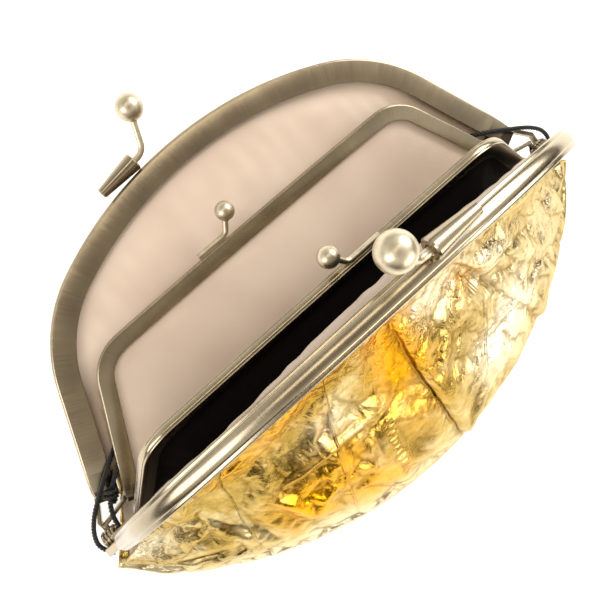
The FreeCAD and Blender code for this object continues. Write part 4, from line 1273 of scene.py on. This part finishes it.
def main_folds(sheet):
    """The folds that the CAD panel has too, with the pleats' edges drawn sharper."""
    total = np.zeros(sheet.share.shape)
    for line, share, edge in FRONT_PLEATS:
        total += overlap(sheet, line, share * FOLD["height"], FOLD["run"], edge)
    for line, share in FRONT_RIDGES:
        total += ridge(sheet, line, share * FOLD["height"], FOLD["width"])
    total *= ease((sheet.down - FOLD["start"]) / FOLD["taper"]) * ease((1 - sheet.down) / FOLD["taper"])
    return np.where(total > 0, total, total * ease(sheet.down / BELLY_SHARE))


# Painted shade in creases: the bend that counts as a full crease, and how dark it gets
SHARPEST_BEND, CREASE_SHADE = 0.12, 0.6
WRINKLES = [
    # widths across and down, height, shift of the seed, octaves
    ((16.0, 40.0), 0.6, 11.0, 2),
    ((5.0, 9.0), 0.1, 0.0, 3),
]


def hollow(height):
    """Painted crease shade: 0 on ridges, most in the sharpest hollows."""
    bend = sum(np.gradient(np.gradient(height, axis=axis), axis=axis) for axis in (0, 1))
    return CREASE_SHADE * np.clip(bend / SHARPEST_BEND, 0, 1)


def crumpled(sheet, seed, creases=()):
    """Small folds and wrinkles of a leather sheet."""
    height = cell_facets(sheet, seed)
    for line, rise, width in creases:
        height += ridge(sheet, line, rise, width)
    for widths, rise, shift, octaves in WRINKLES:
        height += wrinkle(sheet, widths, rise, seed + shift, octaves)
    return height * free_share(sheet)


# Slack: how much larger the sheet is cut, how far a point may move in mm, the shares of it that its frame
# and seam hold, and the least hold that counts
SLACK = dict(growth=0.014, limit=1.6, hold=0.12, seam_hold=0.1, least=0.01)
CLOTH_FRAMES = 16
TINY = 1e-6
CLOTH = dict(quality=5, mass=0.3, tension_stiffness=25, compression_stiffness=25, shear_stiffness=12,
             bending_stiffness=10.0, vertex_group_mass="held", shrink_min=-SLACK["growth"])


def slackened(sheet):
    """Cloth simulation: the sheet is cut larger than its place, held at its edges and left to buckle."""
    faces = grid_faces(sheet.rows, sheet.columns)
    piece = make_mesh("slack", sheet.points.reshape(-1, 3), faces, "gold_leather")
    held = piece.vertex_groups.new(name="held")
    hold = 1 - free_share(sheet, SLACK["hold"], SLACK["seam_hold"]).ravel()
    for index in np.nonzero(hold > SLACK["least"])[0]:
        held.add([int(index)], float(hold[index]), "REPLACE")
    cloth = piece.modifiers.new("cloth", "CLOTH")
    for name, value in CLOTH.items():
        setattr(cloth.settings, name, value)
    cloth.settings.effector_weights.gravity = 0.0
    cloth.collision_settings.use_collision = False
    cloth.point_cache.frame_end = CLOTH_FRAMES
    for step in range(1, CLOTH_FRAMES + 1):
        scene.frame_set(step)
    result = piece.evaluated_get(bpy.context.evaluated_depsgraph_get()).to_mesh()
    moved = np.zeros(len(result.vertices) * 3)
    result.vertices.foreach_get("co", moved)
    shift = moved.reshape(sheet.points.shape) / MM - sheet.points
    bpy.data.objects.remove(piece)
    scene.frame_set(1)
    length = np.linalg.norm(shift, axis=2)[..., None]
    print("cloth moved", round(float(length.max()), 2), "mm at most")
    return shift * np.minimum(1, SLACK["limit"] / np.maximum(length, TINY))


FOLLOW_POWER = 0.85
FOLLOW_START, FOLLOW_END = (0, -0.05, 0.006), (0, 0.02, 0.07)


def follow_rows(piece, sheet, give=0.0):
    """Bends a sheet between the body at its seam and the body at its frame, row by row, with some give."""
    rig.blend(piece, "rear_outer", sheet.half, start=FOLLOW_START, end=FOLLOW_END)
    # The sheet hangs from an arch, so how much a point follows the frame goes by its row, not by a line
    weights = 1 - ease(sheet.down ** FOLLOW_POWER) - give
    piece.data.attributes["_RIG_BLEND"].data.foreach_set("value", weights.astype(np.float32).ravel())


# Where the foil is a deeper gold and where it is paler, partly its own tone and partly painted reflection, and
# where it is crinkled: the share and down of each spot's middle, its width across and down in mm, and its strength
FRONT_SPOTS = {
    "warm": [
        (-0.4, 0.58, 11.0, 12.0, 1.0), (-0.19, 0.75, 9.0, 9.0, 1.0), (-0.24, 0.52, 7.0, 10.0, 0.7),
        (0.02, 0.21, 7.0, 12.0, 1.0), (0.0, 0.38, 9.0, 9.0, 0.9), (-0.29, 0.14, 14.0, 6.0, 0.7),
        (-0.48, 0.2, 12.0, 7.0, 0.6), (0.28, 0.26, 5.0, 6.0, 0.5), (0.0, 0.54, 9.0, 11.0, 0.35),
    ],
    "pale": [
        (0.17, 0.18, 12.0, 9.0, 0.9), (0.42, 0.56, 9.0, 11.0, 1.0), (0.36, 0.26, 10.0, 8.0, 0.6),
        (0.28, 0.63, 10.0, 10.0, 0.8), (0.73, 0.48, 30.0, 28.0, 0.5), (-0.11, 0.04, 12.0, 5.0, 0.7),
        (-0.22, 0.02, 12.0, 5.0, 0.6), (-0.96, 0.49, 12.0, 16.0, 0.6), (-0.45, 0.9, 60.0, 12.0, 0.8),
        (-0.25, 0.35, 6.0, 6.0, 0.4),
    ],
    "crinkle": [
        (-0.07, 0.15, 22.0, 13.0, 0.7), (0.21, 0.37, 24.0, 22.0, 0.8), (0.62, 0.43, 30.0, 28.0, 0.5),
        (-0.29, 0.55, 10.0, 15.0, 0.5), (-0.94, 0.5, 16.0, 22.0, 0.5), (0.0, 0.6, 9.0, 12.0, -0.3),
    ],
}
CRINKLE_LEAST = 0.2
FRONT_SEED = 1.0
# How far a fold may reach into the purse, at the frame and by how much more at the belly
INWARD, INWARD_MORE = 0.1, 1.3


def spotted(sheet, spots, least=0.0):
    """Soft round spots added up, from 0 to 1."""
    across, down = sheet.flat()
    total = np.full(across.shape, least)
    for share, depth, width, tall, strength in spots:
        total += strength * np.exp(-((across - share * sheet.width) / width) ** 2
                                   - ((down - depth * sheet.reach) / tall) ** 2)
    return np.clip(total, 0, 1)


def make_front_leather():
    sheet = Sheet("front_outer", LEATHER_LEVEL, BAG, SEAM_STEP, hanging(*BAG_HANG), FRONT_COLUMNS, FRONT_ROWS)
    smooth = sheet.points.copy()
    outward = sheet.normals()
    sheet.push(main_folds(sheet) + crumpled(sheet, FRONT_SEED, FRONT_CREASES))
    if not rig.quick():
        sheet.points = sheet.points + slackened(sheet)
    height = ((sheet.points - smooth) * outward).sum(axis=2)
    inside = -INWARD - INWARD_MORE * ease(sheet.down / BELLY_SHARE)
    sheet.points = sheet.points + outward * np.maximum(inside - height, 0)[..., None]
    # The sheet carries painted crease shade, and warm and pale spots that are partly tone and partly painted
    # reflection
    piece = sheet_piece("front_leather", sheet, LEATHER, "gold_leather", "front_leather_panel",
                        {"crease": hollow(height), "warm": spotted(sheet, FRONT_SPOTS["warm"]),
                         "pale": spotted(sheet, FRONT_SPOTS["pale"]),
                         "crinkle": spotted(sheet, FRONT_SPOTS["crinkle"], CRINKLE_LEAST)})
    follow_rows(piece, sheet)


make_front_leather()

# %% [markdown]
# The rear leather lies under the purse and is hardly seen. It gets the same small folds, within limits, and
# the table flattens them: nothing goes below it. A simulation would add nothing that shows.

# %% Rear leather
REAR_COLUMNS, REAR_ROWS = 200, 100
REAR_SEED = 21.0
REAR_FOLDS = (-0.9, 1.5)


def make_rear_leather():
    sheet = Sheet("rear_outer", LEATHER_LEVEL, BAG, -SEAM_STEP, lying, REAR_COLUMNS, REAR_ROWS)
    folds = crumpled(sheet, REAR_SEED)
    sheet.push(-np.clip(folds, *REAR_FOLDS))
    sheet.points[..., 2] = np.maximum(sheet.points[..., 2], LEATHER / 2)
    # Painted shade in the sharpest hollows
    piece = sheet_piece("rear_leather", sheet, LEATHER, "gold_leather", "rear_leather_panel",
                        {"crease": hollow(folds), "crinkle": np.full(folds.shape, CRINKLE_LEAST)})
    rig.ride(piece, "rear_outer")


make_rear_leather()

# %% [markdown]
# The lining is a satin bag that follows the leather a little way in. It is smooth, with soft puckers where
# the channel grips it and a few slack folds near the hinges. It needs no simulation: smooth waves do.

# %% Linings
LINING_COLUMNS, LINING_ROWS = 160, 70
LINING_CLOSE = LEATHER / 2 + LAYER_GAP + LINING / 2
LINING_LIFT, FRONT_LIFT = 3.2, 4.2
LINING_SPAN = 0.97
SEAM_PULL = 0.6
DEEPEST_FOLD = -1.0
# Gathers have a wavelength, height, reach and seed, and waves a width, height and seed
REAR_GATHERS, REAR_WAVES = (7.0, 0.45, 9.0, 2.0), (26.0, 0.7, 4.0)
FRONT_GATHERS, FRONT_WAVES = (8.0, 0.4, 9.0, 7.0), (28.0, 0.7, 8.0)
# The front lining rolls out below its channel, most near the middle, and gives when the purse is shut
LINING_ROLL, ROLL_GIVE = 5.0, 0.045
ROLL = dict(start=0.05, down=0.07, width=0.06, least=0.62, more=0.38, share=0.1, spread=0.35)
LINING_SHADE = dict(least=0.4, more=0.6, start=0.08, run=0.06)
GATHER = dict(drift_width=18.0, drift=5.0, change_width=14.0, change_shift=5, usual=0.5, start=4.0)


def pucker(sheet, wavelength, height, reach, seed):
    """Small gathers that start at the channel and die away down the sheet."""
    across, down = sheet.flat()
    drift = np.array([noise.noise(Vector((spot / GATHER["drift_width"], seed, 0))) for spot in across[0]])
    wave = np.sin(2 * math.pi * across / wavelength + GATHER["drift"] * drift[None, :])
    strength = np.array([GATHER["usual"] + noise.noise(Vector((spot / GATHER["change_width"],
                                                               seed + GATHER["change_shift"], 0)))
                         for spot in across[0]])
    fade = ease(down / GATHER["start"]) * np.exp(-down / reach)
    return height * wave * np.clip(strength, 0, 1)[None, :] * fade


def soft_waves(sheet, width, height, seed):
    """Slow waves of one width all over a sheet."""
    return height * at_points(sheet, (width, width), seed, noise.noise)


def lining_lift(sheet, most):
    """How far the lining stands off the middle of the leather: most at the belly, less again at the seam."""
    lift = LINING_CLOSE + (most - LINING_CLOSE) * ease(sheet.down / BELLY_SHARE)
    return lift * (1 - SEAM_PULL * ease((sheet.down - 1 + SEAM_SHARE) / SEAM_SHARE))


REAR_LINING_RIDGES = [
    # share and down of each point, height, width
    ([(-0.78, 0.05), (-0.72, 0.3), (-0.6, 0.6)], 1.4, 2.2),
    ([(-0.9, 0.06), (-0.84, 0.3), (-0.7, 0.62)], 1.2, 2.6),
    ([(0.74, 0.05), (0.7, 0.3), (0.6, 0.6)], 1.0, 2.4),
]


def make_rear_lining():
    sheet = Sheet("rear_outer", LEATHER_LEVEL, BAG, -SEAM_STEP, lying, LINING_COLUMNS, LINING_ROWS,
                  span=LINING_SPAN)
    folds = pucker(sheet, *REAR_GATHERS) + soft_waves(sheet, *REAR_WAVES)
    for line, rise, width in REAR_LINING_RIDGES:
        folds += ridge(sheet, line, rise, width)
    sheet.push(lining_lift(sheet, LINING_LIFT))
    sheet.push(np.maximum(folds * free_share(sheet), DEEPEST_FOLD))
    piece = sheet_piece("rear_satin", sheet, LINING, "satin_lining", "rear_lining")
    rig.ride(piece, "rear_outer")


def make_front_lining():
    sheet = Sheet("front_outer", LEATHER_LEVEL, BAG, SEAM_STEP, hanging(*BAG_HANG),
                  LINING_COLUMNS, LINING_ROWS, span=LINING_SPAN)
    sheet.push(-lining_lift(sheet, FRONT_LIFT))
    folds = pucker(sheet, *FRONT_GATHERS) + soft_waves(sheet, *FRONT_WAVES)
    roll = np.exp(-((sheet.down - ROLL["down"]) / ROLL["width"]) ** 2)
    roll = ease(sheet.down / ROLL["start"]) * roll * free_share(sheet)
    roll *= ROLL["least"] + ROLL["more"] * np.exp(-((sheet.share - ROLL["share"]) / ROLL["spread"]) ** 2)
    sheet.push(-np.maximum(folds * free_share(sheet), DEEPEST_FOLD) - LINING_ROLL * roll)
    # Painted shade, darker down the front pocket
    dark = ease((sheet.down - LINING_SHADE["start"]) / LINING_SHADE["run"])
    piece = sheet_piece("front_satin", sheet, LINING, "satin_lining", "front_lining",
                        {"deep": LINING_SHADE["least"] + LINING_SHADE["more"] * dark})
    follow_rows(piece, sheet, ROLL_GIVE * roll)


make_rear_lining()
make_front_lining()

# %% [markdown]
# The coin pouch hangs between the two inner halves, with a wall from each and one seam. Both walls are sheets
# like the lining, with a near-black cloth of painted shade on the outer side of the front one.

# %% Pouch
POUCH_COLUMNS, POUCH_ROWS = 120, 50
POUCH_HOLD = 0.1
POUCH_SHADE = dict(least=0.12, more=0.3, run=0.5)
POUCH_REAR_HANG = (8.0, -9.0, -60.0, -60.0)
POUCH_FRONT_HANG = (8.0, 9.0, 15.0, 15.0)
POUCH_GATHERS, POUCH_WAVES, WAVE_SHIFT = (6.0, 0.25, 7.0), (22.0, 0.5), 3
REAR_POUCH_SEED, FRONT_POUCH_SEED = 31.0, 37.0


def make_pouch_wall(side, lift, hang, seed, painted_shade_back=None):
    sheet = Sheet(f"{side}_inner", POUCH_LEVEL, POUCH_BAG, lift, hanging(*hang), POUCH_COLUMNS, POUCH_ROWS)
    folds = pucker(sheet, *POUCH_GATHERS, seed) + soft_waves(sheet, *POUCH_WAVES, seed + WAVE_SHIFT)
    sheet.push(folds * free_share(sheet, POUCH_HOLD))
    # Painted shade, darker down the pouch
    deep = POUCH_SHADE["least"] + POUCH_SHADE["more"] * ease(sheet.down / POUCH_SHADE["run"])
    piece = sheet_piece(f"pouch_{side}_satin", sheet, POUCH, "satin_lining", f"pouch_{side}_wall",
                        {"deep": deep}, painted_shade_back)
    follow_rows(piece, sheet)


make_pouch_wall("rear", -SEAM_STEP, POUCH_REAR_HANG, REAR_POUCH_SEED)
make_pouch_wall("front", SEAM_STEP, POUCH_FRONT_HANG, FRONT_POUCH_SEED, POUCH_PAINTED_SHADE_CLOTH)

# %% [markdown]
# Cords are twisted yarn. A small node tree lays several strands round a curve: it copies the curve once for
# each strand, moves each copy off the middle by an angle that grows along the length, and gives it a round
# section. One tree with named inputs does for the paper cords and the black ones.

# %% Twisted cord tree
STRAND_SIDES = 8


def twisted_cord_tree():
    tree = bpy.data.node_groups.new("twisted_cord", "GeometryNodeTree")
    face = tree.interface
    face.new_socket("Geometry", in_out="INPUT", socket_type="NodeSocketGeometry")
    sockets = {}
    for name, kind in (("Strands", "NodeSocketInt"), ("Strand radius", "NodeSocketFloat"),
                       ("Lay radius", "NodeSocketFloat"), ("Turns per metre", "NodeSocketFloat"),
                       ("Step", "NodeSocketFloat"), ("Material", "NodeSocketMaterial")):
        sockets[name] = face.new_socket(name, in_out="INPUT", socket_type=kind).identifier
    face.new_socket("Geometry", in_out="OUTPUT", socket_type="NodeSocketGeometry")
    given = add_node(tree, "NodeGroupInput")
    even = add_node(tree, "GeometryNodeResampleCurve", {"Curve": given, "Length": (given, "Step")},
                    mode="LENGTH")
    copies = add_node(tree, "GeometryNodeDuplicateElements", {"Geometry": even, "Amount": (given, "Strands")},
                      domain="SPLINE")
    share = add_node(tree, "ShaderNodeMath", {0: (copies, "Duplicate Index"), 1: (given, "Strands")},
                     operation="DIVIDE")
    run = add_node(tree, "GeometryNodeSplineParameter")
    turns = add_node(tree, "ShaderNodeMath", {0: (run, "Length"), 1: (given, "Turns per metre"), 2: share},
                     operation="MULTIPLY_ADD")
    angle = add_node(tree, "ShaderNodeMath", {0: turns, 1: 2 * math.pi}, operation="MULTIPLY")
    around = add_node(tree, "ShaderNodeVectorRotate",
                      {"Vector": add_node(tree, "GeometryNodeInputNormal"),
                       "Axis": add_node(tree, "GeometryNodeInputTangent"), "Angle": angle},
                      rotation_type="AXIS_ANGLE")
    offset = add_node(tree, "ShaderNodeVectorMath", {0: around, "Scale": (given, "Lay radius")},
                      operation="SCALE")
    laid = add_node(tree, "GeometryNodeSetPosition", {"Geometry": copies, "Offset": offset})
    ring = add_node(tree, "GeometryNodeCurvePrimitiveCircle",
                    {"Resolution": STRAND_SIDES, "Radius": (given, "Strand radius")})
    strands = add_node(tree, "GeometryNodeCurveToMesh",
                       {"Curve": laid, "Profile Curve": ring, "Fill Caps": True})
    smooth = add_node(tree, "GeometryNodeSetShadeSmooth", {"Geometry": strands})
    whole = add_node(tree, "GeometryNodeRealizeInstances", {"Geometry": smooth})
    finished = add_node(tree, "GeometryNodeSetMaterial", {"Geometry": whole, "Material": (given, "Material")})
    add_node(tree, "NodeGroupOutput", {"Geometry": finished})
    return tree, sockets


CORD_TREE, CORD_SOCKETS = twisted_cord_tree()
# Strands press into each other, so each is drawn a little thicker than it would fit
STRAND_SWELL = 1.06
print("cord tree with", len(CORD_TREE.nodes), "nodes")


def curve_through(name, points, smooth):
    """Curve object in metres: a smooth spline guided by the points, or straight runs through them."""
    data = bpy.data.curves.new(name, "CURVE")
    data.dimensions = "3D"
    data.resolution_u = 16
    spline = data.splines.new("NURBS" if smooth else "POLY")
    spline.points.add(len(points) - 1)
    for point, spot in zip(spline.points, points):
        point.co = (*(np.asarray(spot) * MM), 1.0)
    if smooth:
        spline.order_u = 3
        spline.use_endpoint_u = True
    curve = bpy.data.objects.new(name, data)
    scene.collection.objects.link(curve)
    return curve


def path_points(curve):
    """Points along a curve with no bevel, in metres."""
    mesh = bpy.data.meshes.new_from_object(curve.evaluated_get(bpy.context.evaluated_depsgraph_get()))
    path = [tuple(vertex.co) for vertex in mesh.vertices]
    bpy.data.meshes.remove(mesh)
    return path


def twisted_cord(name, points, diameter, strands, lay, slot, smooth=True, step=0.25):
    """Mesh of twisted strands along a route; returns the piece and its middle line."""
    guide = curve_through(f"{name}_guide", points, smooth)
    bpy.context.view_layer.update()
    path = path_points(guide)
    modifier = guide.modifiers.new("twist", "NODES")
    strand = diameter / 2 / (1 + 1 / math.sin(math.pi / strands))
    settings = {"Strands": strands, "Strand radius": strand * STRAND_SWELL * MM,
                "Lay radius": (diameter / 2 - strand) * MM, "Turns per metre": repeats(lay),
                "Step": step * MM, "Material": MATERIALS[slot]}
    modifier.node_group = CORD_TREE
    for label, value in settings.items():
        modifier[CORD_SOCKETS[label]] = value
    bpy.context.view_layer.update()
    mesh = bpy.data.meshes.new_from_object(guide.evaluated_get(bpy.context.evaluated_depsgraph_get()))
    mesh.name = name
    bpy.data.objects.remove(guide)
    piece = bpy.data.objects.new(name, mesh)
    scene.collection.objects.link(piece)
    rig.slot(piece, slot)
    return piece, path


# %% [markdown]
# A paper cord wedges the leather and its lining into each outer channel, and the pouch's wall into each inner
# one. It is hidden, but a frame purse is held together by nothing else, so it is here, with a coarse step.

# %% Packing cords
PACKING = {"outer": 1.3, "inner": 0.6}
PACKING_STATIONS = 90
PAPER_STRANDS, PAPER_LAY, PAPER_STEP = 3, 5.0, 0.7
LINING_LEVEL = LEATHER_LEVEL - LEATHER / 2 - LAYER_GAP - LINING / 2
PACKING_LEVEL = {"outer": LINING_LEVEL - LINING / 2 - CLOSE_GAP - PACKING["outer"] / 2,
                 "inner": POUCH_LEVEL - POUCH / 2 - CLOSE_GAP - PACKING["inner"] / 2}


def make_packing_cord(half):
    kind = KINDS[half]
    diameter, level = PACKING[kind["name"]], PACKING_LEVEL[kind["name"]]
    inset = kind["wall"] + CLOSE_GAP + diameter / 2
    arch = Arch(kind, inset, kind["end"] + EAR["overlap"] + EAR["thickness"])
    shares = np.linspace(-1, 1, PACKING_STATIONS)
    route = placed(half, [(*arch.station(share)[0], -level) for share in shares])
    piece, _ = twisted_cord(f"{half}_paper_cord", route, diameter, PAPER_STRANDS, PAPER_LAY, "paper_cord",
                            smooth=False, step=PAPER_STEP)
    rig.ride(piece, half)
    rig.replaces(piece, f"{half}_packing_cord")
    print(piece.name, len(piece.data.polygons), "faces")


for half in KINDS:
    make_packing_cord(half)

# %% [markdown]
# A black cord is tied round each hinge and lies along the rear half. Its route is a short list of points,
# read from the photograph, and a smooth curve goes by them. The knot's turns are wound round a line.

# %% Tie cords
TIE, TIE_STRANDS, TIE_LAY = 1.4, 3, 3.4
LEFT_TIE_ROUTE = [(-67.4, 20.0, -2.5), (-71.6, 17.6, -0.2), (-74.8, 15.8, 2.0), (-80.6, 12.0, 2.6),
                  (-85.6, 8.6, 1.6), (-89.9, 4.2, -0.4), (-92.2, -0.8, -2.2), (-90.6, -5.0, -3.9)]
RIGHT_TIE_ROUTE = [(67.8, 19.6, -2.5), (72.0, 17.2, -0.2), (75.2, 15.4, 2.0), (80.6, 12.0, 2.6),
                   (86.4, 8.4, 2.0), (90.8, 4.2, 0.2), (92.0, -1.2, -2.3), (90.6, -5.0, -3.9)]
# The left cord's other end comes down beside it, is knotted round itself and goes on to the hinge
KNOT_ABOVE = [(-68.3, 17.5, -2.0), (-70.6, 15.4, 0.0), (-73.9, 13.2, 2.0)]
KNOT_BELOW = [(-81.3, 5.9, 2.8), (-82.2, 3.4, 2.6), (-83.1, 0.9, 1.0)]
KNOT_FROM, KNOT_TO = (-76.2, 11.6, 2.8), (-79.6, 8.6, 3.0)
KNOT_TURNS, KNOT_RADIUS = 3, 1.5
TURN_STEPS, KNOT_EASE = 12, 8


def knot_turns():
    """Turns of a cord wound round a straight line."""
    start, end = np.array(KNOT_FROM), np.array(KNOT_TO)
    axis = (end - start) / np.linalg.norm(end - start)
    side = np.cross(axis, (0, 0, 1))
    side /= np.linalg.norm(side)
    other = np.cross(axis, side)
    turns, steps = [], KNOT_TURNS * TURN_STEPS
    for step in range(steps + 1):
        angle = 2 * math.pi * step / TURN_STEPS
        radius = KNOT_RADIUS * ease(min(step, steps - step) / KNOT_EASE)
        turns.append(tuple(start + (end - start) * step / steps
                           + radius * (math.cos(angle) * side + math.sin(angle) * other)))
    return turns


def make_tie(name, route, node=None):
    points = np.asarray(route) + HINGE
    piece, path = twisted_cord(name, points, TIE, TIE_STRANDS, TIE_LAY, "black_cord")
    length = sum(math.dist(a, b) for a, b in zip(path, path[1:]))
    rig.ride(piece, "rear_outer")
    if node:
        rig.replaces(piece, node)
    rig.cord(piece, exit=path[0], length=length, diameter=TIE * MM, far_end="object", stiffness="limp",
            lay="taut", path=path)
    print(name, round(length / MM, 1), "mm")


make_tie("left_tie", LEFT_TIE_ROUTE, "left_tie_cord")
make_tie("right_tie", RIGHT_TIE_ROUTE, "right_tie_cord")
make_tie("left_tie_knot", KNOT_ABOVE + knot_turns() + KNOT_BELOW)

# %% [markdown]
# Last, the cloth pieces say what size they were cut to, and the boxes of the CAD model and of the dressed
# model are written side by side.


# %% Sheets and sizes
def longest(points, axis):
    """Longest line of a grid in metres, along one of its axes."""
    return np.linalg.norm(np.diff(points, axis=axis), axis=2).sum(axis=axis).max() * MM


for name in ("front_leather", "rear_leather", "front_satin", "rear_satin", "pouch_rear_satin",
             "pouch_front_satin"):
    piece, sheet = SHEETS[name]
    wide_side, long_side = longest(sheet.points, 1), longest(sheet.points, 0)
    area = area_of(sheet.points)
    print(name, "flat", round(wide_side, 3), round(long_side, 3), "area", round(area, 4))
    rests = f"{sheet.half}_frame_half"
    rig.sheet(piece, flat=(wide_side, long_side), held="hung", rests_on=[rests], area=area)

low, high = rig.bounds()
with open("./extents.json", "w") as out:
    json.dump({"cad": [list(cad_low), list(cad_high)], "visual": [list(low), list(high)]}, out)
print("cad box", [round(v, 4) for v in (*cad_low, *cad_high)])
print("visual box", [round(v, 4) for v in (*low, *high)])
